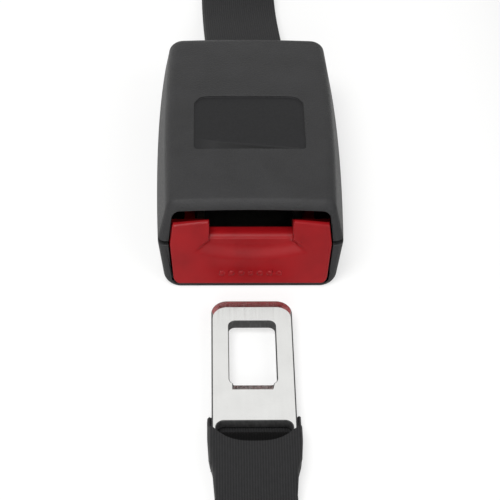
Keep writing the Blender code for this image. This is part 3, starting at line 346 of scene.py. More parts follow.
def shape(name, points, faces, sharp=35.0, uv=None):
    """An object at the origin with this closed mesh, its faces outward and its smooth edges shaded so."""
    mesh = bpy.data.meshes.new(name)
    mesh.from_pydata(points.reshape(-1, 3).tolist(), [], faces)
    if uv is not None:
        corners = np.empty(len(mesh.loops), dtype=np.int32)
        mesh.loops.foreach_get("vertex_index", corners)
        layer = mesh.uv_layers.new(name="weave")
        layer.data.foreach_set("uv", uv.reshape(-1, 2)[corners].astype(np.float32).ravel())
    work = bmesh.new()
    work.from_mesh(mesh)
    bmesh.ops.remove_doubles(work, verts=work.verts, dist=1e-7)
    bmesh.ops.recalc_face_normals(work, faces=work.faces)
    work.to_mesh(mesh)
    work.free()
    made = bpy.data.objects.new(name, mesh)
    bpy.context.scene.collection.objects.link(made)
    finish_shading(made, sharp)
    return made


def finish_shading(piece, sharp=35.0):
    piece.data.shade_smooth()
    piece.data.set_sharp_from_angle(angle=math.radians(sharp))


def combine(piece, operation, *tools):
    """Cuts the tools from the piece, or joins them to it, and removes them."""
    for tool in tools:
        step = piece.modifiers.new("combine", "BOOLEAN")
        step.operation = operation
        step.solver = "EXACT"
        step.object = tool
        made = bpy.data.meshes.new_from_object(
            piece.evaluated_get(bpy.context.evaluated_depsgraph_get()))
        piece.modifiers.clear()
        old, piece.data = piece.data, made
        bpy.data.meshes.remove(old)
        bpy.data.objects.remove(tool, do_unlink=True)
    finish_shading(piece)


def soften(piece, width, limit=40.0):
    """Rounds the piece's sharp edges."""
    step = piece.modifiers.new("softened_edges", "BEVEL")
    step.width = width
    step.segments = 2
    step.limit_method = "ANGLE"
    step.angle_limit = math.radians(limit)
    step.use_clamp_overlap = False
    step.miter_outer = "MITER_ARC"


def cover(piece, finish):
    piece.data.materials.clear()
    piece.data.materials.append(finish)


def second_finish(piece, finish, chosen):
    """Gives the chosen faces another finish."""
    piece.data.materials.append(finish)
    piece.data.polygons.foreach_set("material_index", chosen.astype(np.int32))


def per_face(piece, what):
    """The normal or the center of each face."""
    values = np.empty(3 * len(piece.data.polygons))
    piece.data.polygons.foreach_get(what, values)
    return values.reshape(-1, 3)


def place(piece, body, slot, finish, *nodes):
    """Gives the piece its finish and its body, and hides the solids that it stands for."""
    cover(piece, finish)
    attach(piece, body)
    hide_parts(*nodes)
    return piece


def solid_box(node):
    """The lowest corner, the highest corner and the middle of a solid's box."""
    low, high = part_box(node)
    return low, high, (low + high) / 2


def run_along(path):
    """The distance along a path at each of its points."""
    return np.concatenate([[0], np.cumsum(np.linalg.norm(np.diff(path, axis=0), axis=1))])


def weave_uv(across, along):
    """Pattern coordinates of a grid: places across each row, and each row's place along."""
    return np.stack(np.broadcast_arrays(across, along[:, None]), -1)


def rounded(corners, radii, steps, inserts=0):
    """Each corner of each polygon as an arc about the point that lies its radius from both sides.

    corners is (sections, corners, 2). inserts more points divide each straight stretch.
    """
    before = unit(np.roll(corners, 1, axis=1) - corners)
    after = unit(np.roll(corners, -1, axis=1) - corners)
    half = np.arccos(np.clip((before * after).sum(-1), -1, 1)) / 2
    radii = np.broadcast_to(radii, half.shape)
    centre = corners + unit(before + after) * (radii / np.sin(half))[..., None]
    start = corners + before * (radii / np.tan(half))[..., None] - centre
    end = corners + after * (radii / np.tan(half))[..., None] - centre
    turn = (math.pi - 2 * half)[..., None]
    t = np.linspace(0, 1, steps + 1)
    from_start = np.sin((1 - t) * turn) / np.sin(turn)
    from_end = np.sin(t * turn) / np.sin(turn)
    arcs = (centre[:, :, None] + from_start[..., None] * start[:, :, None]
            + from_end[..., None] * end[:, :, None])
    if inserts:
        last = arcs[:, :, -1:]
        following = np.roll(arcs[:, :, :1], -1, axis=1)
        t = (np.arange(1, inserts + 1) / (inserts + 1))[:, None]
        arcs = np.concatenate([arcs, last + (following - last) * t], axis=2)
    return arcs.reshape(len(corners), -1, 2)


def prism(name, outline, axis, low, high):
    """A flat outline in the two other axes, carried along one axis from low to high."""
    rings = np.stack([np.insert(np.asarray(outline, float), "XYZ".index(axis), level, axis=1)
                      for level in (low, high)])
    return shape(name, rings, skin(2, len(outline)))


def rectangle(x, y):
    return np.array([[(x[0], y[0]), (x[1], y[0]), (x[1], y[1]), (x[0], y[1])]])


def block(name, x, y, z):
    return prism(name, rectangle(x, y)[0], "Z", *z)


def disc(centre, radius, sides=32):
    turns = np.arange(sides) * 2 * math.pi / sides
    return np.stack([centre[0] + radius * np.cos(turns), centre[1] + radius * np.sin(turns)], 1)


def wire(path, radius, sides, reference):
    """Points and faces of a round wire: a circle carried along a path, square to it."""
    along = unit(np.gradient(path, axis=0))
    side = unit(np.cross(along, reference))
    up = np.cross(side, along)
    turns = np.arange(sides) * 2 * math.pi / sides
    rings = (path[:, None] + radius * (np.cos(turns)[:, None] * side[:, None]
                                       + np.sin(turns)[:, None] * up[:, None]))
    return rings, skin(len(path), sides)


# Materials

def add_node(tree, kind, values=(), links=(), **settings):
    """A node with its settings, the values of its sockets and the links into them."""
    made = tree.nodes.new(kind)
    for name, value in settings.items():
        setattr(made, name, value)
    for socket, value in dict(values).items():
        made.inputs[socket].default_value = value
    for socket, source in dict(links).items():
        tree.links.new(source, made.inputs[socket])
    return made


def start_material(name, rgb, sockets):
    """A material with its shader set, and the output of its object coordinates."""
    made = bpy.data.materials.new(name)
    made.use_nodes = True
    made.diffuse_color = (*rgb, 1)
    shader = made.node_tree.nodes["Principled BSDF"]
    for socket, value in {"Base Color": (*rgb, 1), **sockets}.items():
        shader.inputs[socket].default_value = value
    at = add_node(made.node_tree, "ShaderNodeTexCoord").outputs["Object"]
    return made, made.node_tree, shader, at


def tint_and_raise(tree, shader, tone, dark, pale, height=None, relief=()):
    """Mixes two colours by one pattern, and raises the surface by another: its height and strength."""
    mixed = add_node(tree, "ShaderNodeMix", {6: (*dark, 1), 7: (*pale, 1)}, {0: tone}, data_type="RGBA")
    tree.links.new(mixed.outputs[2], shader.inputs["Base Color"])
    if relief:
        bump = add_node(tree, "ShaderNodeBump", dict(zip(("Distance", "Strength"), relief)),
                        {"Height": height})
        tree.links.new(bump.outputs["Normal"], shader.inputs["Normal"])


def scaled(rgb, factor):
    return tuple(min(1.0, c * factor) for c in rgb)


# Each finish: the shader's sockets; its noises, with features per metre (one number, or one for
# each axis), detail and share in the colour; the factors on the colour where their sum is low and
# high; and then, by noise, its range of roughness and its relief, as height in metres and
# strength. The real grains are too fine for the picture, so they are drawn this coarse.
METAL, SHINE = "Metallic", "Specular IOR Level"
FINISHES = {
    # Black ABS moulded in a spark-eroded tool: matte, with a fine even grain over flow clouds and
    # a soft shine on edges
    "moulded_black_abs": ({"Roughness": 0.5, SHINE: 0.3}, ((2300, 2, 0.5655), (130, 4, 0.435)),
                          (0.70, 1.35), (0, 0.44, 0.60), (0, 0.00016, 1.0)),
    # The same ABS where the tool was finished finer: darker and smoother
    "smooth_black_abs": ({"Roughness": 0.42, SHINE: 0.12}, ((1500, 2, 1),),
                         (0.90, 1.12), (0, 0.38, 0.46), (0, 0.00002, 0.5)),
    # Red acetal moulded to a satin face: deep colour, soft highlights, faint flow clouds
    "moulded_red_acetal": ({"Roughness": 0.34, SHINE: 0.2}, ((160, 3, 1), (2000, 1, 0)),
                           (0.88, 1.10), (1, 0.30, 0.40), (1, 0.00002, 0.5)),
    # Stamped steel, polished and chrome plated: bright, with faint polishing lines along it
    "chromed_steel": ({"Roughness": 0.20, METAL: 1.0}, (((2600, 70, 2600), 3, 0), (190, 4, 1)),
                      (0.97, 1.02), (0, 0.15, 0.27), (0, 0.000008, 0.4)),
    # The cut edges of the stamped plate: torn grain that scatters the light, dull and dark
    "sheared_steel_edge": ({"Roughness": 0.7, SHINE: 0.1}, (((1500, 1500, 400), 2, 1),),
                           (0.75, 1.2), (), ()),
    # Pressed steel with a passivated zinc coat: cloudy grey with a faint straw tint, half matte
    "zinc_plated_steel": ({"Roughness": 0.38, METAL: 1.0}, ((420, 4, 1), (3000, 1, 0)),
                          (0.80, 1.12), (0, 0.30, 0.48), (1, 0.00001, 0.5)),
    # Hard-drawn spring steel: grey and smooth, with fine drawing marks
    "drawn_spring_wire": ({"Roughness": 0.30, METAL: 1.0}, ((2500, 2, 1),),
                          (0.78, 1.10), (0, 0.24, 0.38), ()),
    # Uncoloured acetal: milky, waxy, slightly see-through at its edges
    "natural_acetal": ({"Roughness": 0.42, "Subsurface Weight": 0.2, "Subsurface Scale": 0.0008},
                       ((220, 2, 1),), (0.92, 1.05), (0, 0.36, 0.48), ()),
}


def make_finish(name, colour_now):
    """The finish of this name, its colour, roughness and relief varied by its noises."""
    rgb = tuple(colour_now)
    sockets, patterns, (low, high), shine, relief = FINISHES[name]
    made, tree, shader, at = start_material(name, rgb, sockets)
    middle = {"From Min": 0.3, "From Max": 0.7}
    noises, total = [], None
    for scale, detail, weight in patterns:
        stretch = scale if isinstance(scale, tuple) else (scale, scale, scale)
        mapped = add_node(tree, "ShaderNodeMapping", {"Scale": stretch}, {"Vector": at})
        noises.append(add_node(tree, "ShaderNodeTexNoise", {"Scale": 1.0, "Detail": detail},
                               {"Vector": mapped.outputs[0]}).outputs[0])
        if weight:
            links = {0: noises[-1]} if total is None else {0: noises[-1], 2: total}
            total = add_node(tree, "ShaderNodeMath", {1: weight, 2: 0.0}, links,
                             operation="MULTIPLY_ADD").outputs[0]
    tone = add_node(tree, "ShaderNodeMapRange", middle, {"Value": total}).outputs["Result"]
    height = noises[relief[0]] if relief else None
    tint_and_raise(tree, shader, tone, scaled(rgb, low), scaled(rgb, high), height, relief[1:])
    if shine:
        number, smooth, rough = shine
        made_rough = add_node(tree, "ShaderNodeMapRange", {**middle, "To Min": smooth, "To Max": rough},
                              {"Value": noises[number]})
        tree.links.new(made_rough.outputs["Result"], shader.inputs["Roughness"])
    return made


def wave(tree, source, pitch, shift=None):
    """A sine of the distance over the pitch, from 0 to 1, moved along by another value."""
    links = {0: source} if shift is None else {0: source, 2: shift}
    turns = add_node(tree, "ShaderNodeMath", {1: 2 * math.pi / pitch, 2: 0.0}, links,
                     operation="MULTIPLY_ADD")
    sine = add_node(tree, "ShaderNodeMath", (), {0: turns.outputs[0]}, operation="SINE")
    return add_node(tree, "ShaderNodeMath", {1: 0.5, 2: 0.5}, {0: sine.outputs[0]},
                    operation="MULTIPLY_ADD").outputs[0]


def start_weave(name, rgb, sockets):
    """A material and the places across and along its piece, from the pattern coordinates."""
    made, tree, shader, at = start_material(name, rgb, sockets)
    uv = add_node(tree, "ShaderNodeUVMap", uv_map="weave")
    parts = add_node(tree, "ShaderNodeSeparateXYZ", (), {"Vector": uv.outputs["UV"]})
    return made, tree, shader, at, parts.outputs["X"], parts.outputs["Y"]


def woven_webbing(settings, name="woven_polyester_webbing", tone=1.0):
    """Polyester belt webbing: lengthwise ribs of warp with the weft crossing them, matte and dark. A tone
    under 1 darkens its colours, sheen and shine: painted shade.
    """
    light, dark = scaled(settings.light, tone), scaled(settings.dark, tone)
    made, tree, shader, at, across, along = start_weave(name, light, {
        "Roughness": 0.85, "Sheen Weight": 0.10 * tone, "Sheen Roughness": 0.4, SHINE: 0.25 * tone})
    rib = wave(tree, across, settings.rib_pitch)
    half_step = add_node(tree, "ShaderNodeMath", {1: math.pi / settings.rib_pitch}, {0: across},
                         operation="MULTIPLY")
    weft = wave(tree, along, settings.weft_pitch, half_step.outputs[0])
    height = add_node(tree, "ShaderNodeMath", {1: 0.15}, {0: weft, 2: rib}, operation="MULTIPLY_ADD")
    level = add_node(tree, "ShaderNodeMath", {1: 0.6, 2: -0.20}, {0: height.outputs[0]},
                     operation="MULTIPLY_ADD")
    fuzz = add_node(tree, "ShaderNodeTexNoise", {"Scale": 900, "Detail": 3}, {"Vector": at})
    shade = add_node(tree, "ShaderNodeMath", {1: 0.55}, {0: fuzz.outputs[0], 2: level.outputs[0]},
                     operation="MULTIPLY_ADD")
    tint_and_raise(tree, shader, shade.outputs[0], dark, light, height.outputs[0], (0.00008, 0.8))
    return made


def bonded_thread(settings):
    """Bonded polyester sewing thread: twisted plies with a slight shine."""
    rgb = tuple(settings.thread)
    made, tree, shader, _, across, along = start_weave("bonded_polyester_thread", rgb, {"Roughness": 0.6})
    lay = add_node(tree, "ShaderNodeMath", {1: 2 * math.pi}, {0: across}, operation="MULTIPLY")
    ply = wave(tree, along, PLY_PITCH, lay.outputs[0])
    tint_and_raise(tree, shader, ply, scaled(rgb, 0.65), scaled(rgb, 1.35), ply, (0.00004, 0.7))
    return made


# Shapes

def roof_z(y, settings):
    """The roof falls with the square of the distance behind its start, and a little at the front."""
    rear = ramp((y - DROP_START_Y) / (REAR_Y - DROP_START_Y))
    front = ramp((FRONT_Y + FRONT_DROP_REACH - y) / FRONT_DROP_REACH)
    return settings.height - settings.rear_drop * rear ** 2 - FRONT_DROP * front ** 2


def crowned_roof_z(x, y, settings):
    return roof_z(y, settings) + settings.crown * (1 - (x / settings.half_seam) ** 2)


def face_y(z, housing):
    """The leaning plane of the button's face at a height."""
    return FRONT_Y + housing.lean * z / housing.height + BUTTON_RECESS


def housing_surface(stations, settings, walls=(0, 0, 0, 0, 0), radii=OUTER_R, steps=9, inserts=7):
    """Six-sided sections with rounded corners, carried from front to rear.

    Each half width gains the bulge as a parabola along the housing. The seam and the foot lose
    the taper times the fourth power of the way to the rear. Each point leans back in
    proportion to its height, less and less towards the rear.
    """
    y, inset = np.asarray(stations, float).T
    seam, roof_corner, foot_corner, roof, floor = walls
    way = ramp((y - FRONT_Y) / (REAR_Y - FRONT_Y))
    bulge = settings.bulge * 4 * way * (1 - way)
    taper = settings.taper * way ** 4 - bulge
    top = roof_z(y, settings) - roof - inset
    foot = floor + FOOT_INSET * inset
    half_top = settings.half_top + bulge - roof_corner - inset
    half_seam = settings.half_seam - taper - seam - inset
    half_foot = settings.half_foot - taper - foot_corner - inset
    level = np.full_like(y, SEAM_Z)
    corners = np.stack([np.stack([-half_foot, foot], 1), np.stack([half_foot, foot], 1),
                        np.stack([half_seam, level], 1), np.stack([half_top, top], 1),
                        np.stack([-half_top, top], 1), np.stack([-half_seam, level], 1)], 1)
    r_foot = np.full_like(y, radii[0])
    r_seam, r_top = (np.minimum(limit, FILLET_SHARE * (top - SEAM_Z)) for limit in radii[1:])
    radius = np.stack([r_foot, r_foot, r_seam, r_top, r_top, r_seam], 1)
    outline = rounded(corners, radius, steps, inserts)
    x, z = outline[..., 0], outline[..., 1]
    lift = ramp((z - SEAM_Z) / (top - SEAM_Z)[:, None]) ** 2
    z = z + settings.crown * lift * (1 - (x / half_seam[:, None]) ** 2)
    lean = settings.lean * (1 - way)[:, None]
    rings = np.stack([x, y[:, None] + lean * z / settings.height, z], -1)
    return rings, skin(*rings.shape[:2])


def edge_stations(start_y, radius, turns, direction):
    """Places and insets that round an end edge: a quarter circle of its radius."""
    angle = np.radians(turns)
    return list(zip(start_y + direction * radius * (1 - np.cos(angle)), radius * (1 - np.sin(angle))))


def housing_body(name, settings):
    stations = edge_stations(FRONT_Y, FRONT_R, np.linspace(0, 90, 9), 1)
    stations += [(y, 0) for y in np.linspace(FRONT_Y + FRONT_R, REAR_Y - REAR_R, 26)[1:-1]]
    stations += edge_stations(REAR_Y, REAR_R, np.linspace(90, 0, 14), -1)
    return shape(name, *housing_surface(stations, settings))


def housing_space(settings):
    end_y, round_r = REAR_Y - REAR_WALL, REAR_R - REAR_WALL
    stations = [(FRONT_Y - REACH, 0), (FRONT_Y, 0)]
    stations += [(y, 0) for y in np.linspace(FRONT_Y, end_y - round_r, 22)[1:-1]]
    stations += edge_stations(end_y, round_r, np.linspace(90, 0, 7), -1)
    return shape("space", *housing_surface(stations, settings, WALLS, INNER_R, 6, 5))


def panel_cutter(settings):
    """The sunk field: its floor follows the roof at its depth."""
    outline = rounded(rectangle((-PANEL_HALF, PANEL_HALF), PANEL_Y), PANEL_R, 8, 24)[0]
    x, y = outline.T
    roof = crowned_roof_z(x, y, settings)
    rings = np.stack([np.stack([x, y, roof + rise], 1) for rise in (-settings.panel_depth, 2 * REACH)])
    return shape("panel", rings, skin(2, len(outline)))


def screw_seats(upper, lower, settings):
    """The posts under the roof and the sunk seats in the floor for the two screws."""
    for node in ("shell_screw_left", "shell_screw_right"):
        at = solid_box(node)[2].xy
        roof = roof_z(at[1], settings) - ROOF_WALL / 2
        combine(upper, "UNION", prism("post", disc(at, POST_R), "Z", SEAT_TOP_Z + GAP, float(roof)))
        combine(upper, "DIFFERENCE", prism("bore", disc(at, BORE_R, 20), "Z", 0.0, SEAM_Z))
        combine(lower, "UNION", prism("seat", disc(at, SEAT_R), "Z", FLOOR / 2, SEAT_TOP_Z))
        combine(lower, "DIFFERENCE", prism("bore", disc(at, BORE_R, 20), "Z", 0.0, SEAM_Z),
                prism("sink", disc(at, SINK_R), "Z", -REACH, SINK_Z))


def add_stops(lower, upper, settings):
    """Ribs behind the button's springs, the post of the latch's spring, and the locating tabs."""
    arm_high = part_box("lock_pin")[1].z + STOP_RISE
    inner = settings.half_seam - SEAM_WALL - TAB_GAP
    behind, wall = inner - TAB_THICK, settings.half_seam - SEAM_WALL / 2
    foot, step, top = SEAM_Z - TAB_REACH, SEAM_Z + settings.seam_gap, SEAM_Z + TAB_RISE
    tab = [(behind, foot), (inner, foot), (inner, step), (wall, step), (wall, top), (behind, top)]
    for side in (-1, 1):
        arm_x = sorted(side * x for x in ARM_X)
        combine(lower, "UNION", block("stop", arm_x, STOP_Y, (FLOOR / 2, arm_high)))
        combine(upper, "UNION", prism("tab", np.array(tab) * (side, 1), "Y", *TAB_Y))
    combine(lower, "UNION", block("leg_post", LEG_POST_X, LEG_POST_Y, (FLOOR / 2, LEG_POST_Z)))


def button_surface(settings, housing):
    """The button's body: level rings from its foot to its top, the front of each bent by the dish.

    The dish is a lens between a curve that rises with the square of the distance from the
    middle and two straight edges that fall outwards from the notch's corners.
    """
    foot = FLOOR + GAP
    half_foot = housing.half_foot - FOOT_CORNER_WALL - SLIDE
    half_seam = housing.half_seam - SEAM_WALL - SLIDE
    half_top = housing.half_top - ROOF_CORNER_WALL - SLIDE
    roof = housing.height - FRONT_DROP - ROOF_WALL - SLIDE
    crowding = math.pi / 2 * 0.86      # columns lie closer together towards the sides
    u = np.sin(np.linspace(-1, 1, 151) * crowding) / math.sin(crowding)
    v = np.concatenate([np.linspace(0, 0.13, 18), np.linspace(0.13, 0.95, 80)[1:-1],
                        np.linspace(0.95, 1, 8)])[:, None]
    top = HORN_TOP_Z - HAIR - HORN_FALL * eased((np.abs(u) - FALL_FROM) / FALL_OVER)
    z = foot + v * (top - foot)
    half = np.where(z < SEAM_Z, half_foot + (half_seam - half_foot) * (z - foot) / (SEAM_Z - foot),
                    half_seam + (half_top - half_seam) * (z - SEAM_Z) / (roof - SEAM_Z))
    below = ramp((BUTTON_FOOT_R - (z - foot)) / BUTTON_FOOT_R)
    half = half - BUTTON_FOOT_R * (1 - np.sqrt(np.maximum(1 - below ** 2, 0)))
    x = u * half
    side_x = np.abs(x)
    low_edge = settings.dish_foot_z + DISH_RISE * (side_x / DISH_RISE_AT) ** 2
    high_edge = DISH_TOP_Z - DISH_TOP_SLOPE * (side_x - NOTCH_HALF)
    dish = eased((z - low_edge) / DISH_EASE[0]) * eased((high_edge - z) / DISH_EASE[1])
    edge = settings.edge_r
    to_side, to_foot, to_top = (ramp((edge - inside) / edge)
                                for inside in (half - side_x, z - foot, top - z))
    near = np.sqrt(np.minimum(to_side ** 2 + np.maximum(to_foot, to_top) ** 2, 1))
    fall = edge * (1 - np.sqrt(np.maximum(1 - near ** 2, 0)))
    front = face_y(z, housing) + settings.dish_depth * dish + fall
    back = BUTTON_BACK_Y + BACK_LEAN * housing.lean * z / housing.height
    return slab(np.stack([x, front, z], -1), np.stack([x, back, z], -1))


def pips(settings, housing):
    """A row of small raised squares, each a rounded outline that shrinks as it rises."""
    size = settings.pip_size / 2
    outline = rounded(rectangle((-size, size), (-size, size)), np.full(4, PIP_ROUND * size), 4)[0]
    scale, rise = np.array(PIP_RINGS).T
    flat = outline[None] * scale[:, None, None]
    z = PIP_Z + flat[..., 1]
    y = face_y(z, housing) - rise[:, None]
    places = (np.arange(settings.pip_count) - (settings.pip_count - 1) / 2) * settings.pip_pitch
    return [(np.stack([x + flat[..., 0], y, z], -1), skin(4, len(outline))) for x in places]


def route_points():
    """A natural cubic through the route's places, measured along its chords, with its twist."""
    knots = np.array([(x, y, z, math.radians(twist)) for x, y, z, twist in ROUTE])
    spans = np.linalg.norm(np.diff(knots[:, :3], axis=0), axis=1)
    count = len(knots)
    inner = np.arange(1, count - 1)
    system = np.eye(count)
    system[inner, inner - 1] = spans[:-1]
    system[inner, inner] = 2 * (spans[:-1] + spans[1:])
    system[inner, inner + 1] = spans[1:]
    slope = np.diff(knots, axis=0) / spans[:, None]
    right = np.zeros_like(knots)
    right[1:-1] = 6 * np.diff(slope, axis=0)
    bend = np.linalg.solve(system, right)
    steps = np.maximum(1, np.round(spans / ROUTE_STEP)).astype(int)
    segment = np.append(np.repeat(np.arange(count - 1), steps), count - 2)
    t = np.append(np.concatenate([np.arange(n) / n for n in steps]), 1.0)[:, None]
    u, h = 1 - t, spans[segment][:, None]
    samples = (u * knots[segment] + t * knots[segment + 1]
               + h * h / 6 * ((u ** 3 - u) * bend[segment] + (t ** 3 - t) * bend[segment + 1]))
    twist = np.clip(samples[:, 3], 0, math.pi / 2)
    least = STRAP_HALF * np.sin(twist) + STRAP_HALF_THICK * np.cos(twist) + REST_GAP
    samples[:, 2] = np.maximum(samples[:, 2], least)
    return samples[:, :3], twist


def ribbon_frames(points, twist):
    """Direction, width and face vectors of the ribbon at each point."""
    along = unit(np.gradient(points, axis=0))
    level = unit(np.cross(along, (0.0, 0.0, 1.0)))
    lifted = np.cross(level, along)
    width = np.cos(twist)[:, None] * level + np.sin(twist)[:, None] * lifted
    return along, width, np.cross(width, along)


def strap_section(half, thick, layer, slit):
    """Width and face offsets of each section: one round fold, and two layers' edges opposite it.

    Every argument has one value for each section. The edges are half ellipses, and slit is
    how far the gap between the layers reaches in.
    """
    h = thick / 2
    fold = np.minimum(h, STRAP_EDGE)
    edge_n = layer / 2
    t = np.linspace(0, 1, 15)[1:-1]
    start, end = (-half + fold)[:, None], (half - SELVEDGE)[:, None]
    bottom = np.stack([start + (end - start) * t, -h[:, None] * np.ones(len(t))], -1)
    turn = np.linspace(-math.pi / 2, math.pi / 2, 7)
    arc_w = end + SELVEDGE * np.cos(turn)
    low = np.stack([arc_w, (-h + edge_n)[:, None] + edge_n[:, None] * np.sin(turn)], -1)
    high = np.stack([arc_w, (h - edge_n)[:, None] + edge_n[:, None] * np.sin(turn)], -1)
    reach = (half - slit)[:, None] * np.ones(2)
    gap = np.stack([reach, np.stack([-h + layer, h - layer], 1)], -1)
    top = bottom[:, ::-1] * (1, -1)
    around = np.linspace(math.pi / 2, 3 * math.pi / 2, 11)
    left = np.stack([start + fold[:, None] * np.cos(around), h[:, None] * np.sin(around)], -1)
    return np.concatenate([bottom, low, gap, high, top, left], axis=1)


def strap_surface(settings):
    """The folded webbing: its section carried from the bar, along the route, to its pocket.

    Returns points, faces, pattern coordinates in metres across and along, and the centre line.
    """
    layer = settings.layer
    loop_r = BAR_R + GAP + layer
    angle = np.radians(LOOP_ANGLES)
    points, twist = route_points()
    _, width, face = ribbon_frames(points, twist)
    points, width, face = points[1:], width[1:], face[1:]
    loop = np.stack([0 * angle, BAR_Y - loop_r * np.cos(angle), BAR_Z + 0 * angle], 1)
    at_bar = (points[:, 0] < STRAP_HALF) & (points[:, 1] > 0)
    at_tongue = (points[:, 0] < STRAP_HALF) & (points[:, 1] < 0)
    opening = ramp((LOOP_CLOSED_Y - points[:, 1]) / (LOOP_CLOSED_Y - ROUTE[0][1])) * at_bar
    pocket_y = np.concatenate([np.linspace(*stretch) for stretch in POCKET_STRETCHES])
    open_up = eased((pocket_y - POCKET_BACK_Y) / POCKET_OPENS_OVER)
    pocket_top = REST_GAP + settings.thickness + (POCKET_TOP_Z - REST_GAP - settings.thickness) * open_up
    pocket_top += POCKET_SWELL * (1 - open_up)
    pocket = np.stack([0 * pocket_y, pocket_y, (REST_GAP + pocket_top) / 2], 1)
    centres = np.vstack([loop, points, pocket])
    counts = [len(loop), len(points), len(pocket)]

    def sections(*values):
        return np.concatenate([value * np.ones(count) for value, count in zip(values, counts)])

    half = sections(STRAP_HALF, np.where(at_tongue, np.interp(points[:, 1], *NARROWING), STRAP_HALF),
                    np.interp(pocket_y, *POCKET_WIDENING))
    thick = sections(2 * loop_r * np.sin(angle), settings.thickness + LOOP_SPREAD * opening,
                     pocket_top - REST_GAP)
    parted = ramp(3 * open_up)
    sheet = sections(np.minimum(layer, 0.9 * loop_r * np.sin(angle)), layer,
                     layer + ((pocket_top - 2 * REST_GAP) / 2 - layer) * parted)
    slit = sections(LOOP_SLIT, SLIT + SLIT_GAIN * opening, SLIT - SLIT_LOSS * parted)
    outline = strap_section(half, thick, sheet, slit)
    across, out = (np.vstack([np.tile(axis, (counts[0], 1)), at_route, np.tile(axis, (counts[2], 1))])
                   for axis, at_route in (((1.0, 0, 0), width), ((0, 0, 1.0), face)))
    rings = (centres[:, None] + outline[..., :1] * across[:, None] + outline[..., 1:] * out[:, None])
    lean = ramp((pocket_y - POCKET_OPEN_Y) / (POCKET_LIP_Y - POCKET_OPEN_Y))[:, None]
    pocket_rings = rings[-len(pocket):]
    rise = ramp((pocket_rings[..., 2] - PLATE_UNDER_Z) / (PLATE_TOP_Z - PLATE_UNDER_Z))
    bow = 1 - ramp(np.abs(pocket_rings[..., 0]) / PLATE_HALF) ** 3
    pocket_rings[..., 1] -= lean * rise * (POCKET_LEAN + POCKET_BOW * bow)
    inner = pocket_rings[-1:].copy()
    inner[..., 0] = np.clip(inner[..., 0], -PLATE_HALF - GAP, PLATE_HALF + GAP)
    inner[..., 2] = np.clip(inner[..., 2], PLATE_UNDER_Z - GAP, PLATE_TOP_Z + GAP)
    rim = 0.5 * (inner + pocket_rings[-1:])
    rim[..., 1] += POCKET_RIM
    end = inner.copy()
    end[..., 1] = PLATE_END_Y - GAP
    rings = np.concatenate([rings, rim, inner, end])
    run = run_along(centres)
    run = np.concatenate([run, run[-1] + np.array([0.0005, 0.0010, 0.0130])])
    u = np.concatenate([outline[..., 0], np.repeat(outline[-1:, :, 0], 3, axis=0)])
    return rings, skin(*rings.shape[:2]), weave_uv(u, run), centres


def fold_surface(settings):
    """Where the upper layer turns down through the slot: a flat section carried round a bend."""
    path = np.array([(0, y, z) for y, z in FOLD_ROUTE]) * HUNDREDTH
    out = np.cross((1.0, 0, 0), unit(np.gradient(path, axis=0)))
    half, h = SLOT_HALF - FOLD_SPARE, settings.layer / 2
    turn = np.linspace(-math.pi / 2, math.pi / 2, 7)
    right = np.stack([half - h + h * np.cos(turn), h * np.sin(turn)], 1)
    t = np.linspace(0, 1, 14)[1:-1, None]
    top = right[-1] + (right[-1] * (-1, 1) - right[-1]) * t
    outline = np.vstack([right, top, right * (-1, -1), top * (-1, -1)])
    rings = path[:, None] + outline[:, :1] * np.array((1.0, 0, 0)) + outline[:, 1:] * out[:, None]
    return rings, skin(*rings.shape[:2]), weave_uv(outline[:, 0], run_along(path))


def stitch_path(y, settings):
    """A zigzag across the strap: a triangle wave along it that dips where it turns."""
    points, twist = route_points()
    frames = np.hstack([points, *ribbon_frames(points, twist)])
    frames = frames[(points[:, 0] < STRAP_HALF) & (points[:, 1] * y > 0)]
    frames = frames[np.argsort(frames[:, 1])]
    middle, along, width, face = np.array([np.interp(y, frames[:, 1], column)
                                           for column in frames.T]).reshape(4, 3)
    t = np.linspace(0, STITCH_TURNS, STITCH_TURNS * 10 + 1)
    zigzag = 2 * np.abs((t % 2) - 1) - 1
    rounded_zigzag = np.sin(zigzag * math.pi / 2 * 0.8) / math.sin(math.pi / 2 * 0.8)
    dip = np.abs(rounded_zigzag) ** 6
    lift = settings.thickness / 2 + settings.thread_r * (1.5 - 2.2 * dip)
    across = STITCH_HALF * (2 * t / STITCH_TURNS - 1)
    return (middle + across[:, None] * width + settings.swing * rounded_zigzag[:, None] * along
            + lift[:, None] * face), face


def coil_path(node, radius_of_wire, turns):
    """A compression spring along Y in the solid's box: its turns close up at both ends."""
    low, high, centre = solid_box(node)
    radius = (high.x - low.x) / 2 - radius_of_wire
    t = np.linspace(0, 1, turns * 32 + 1)
    reach = high.y - low.y - 2 * radius_of_wire
    y = low.y + radius_of_wire + reach * (t - np.sin(2 * math.pi * t) / 18)
    turn = 2 * math.pi * turns * t
    return np.stack([centre.x + radius * np.cos(turn), y, centre.z + radius * np.sin(turn)], 1)


def plate_outline(half, y, radii, steps=14):
    return rounded(rectangle((-half, half), y), np.array(radii), steps)[0]


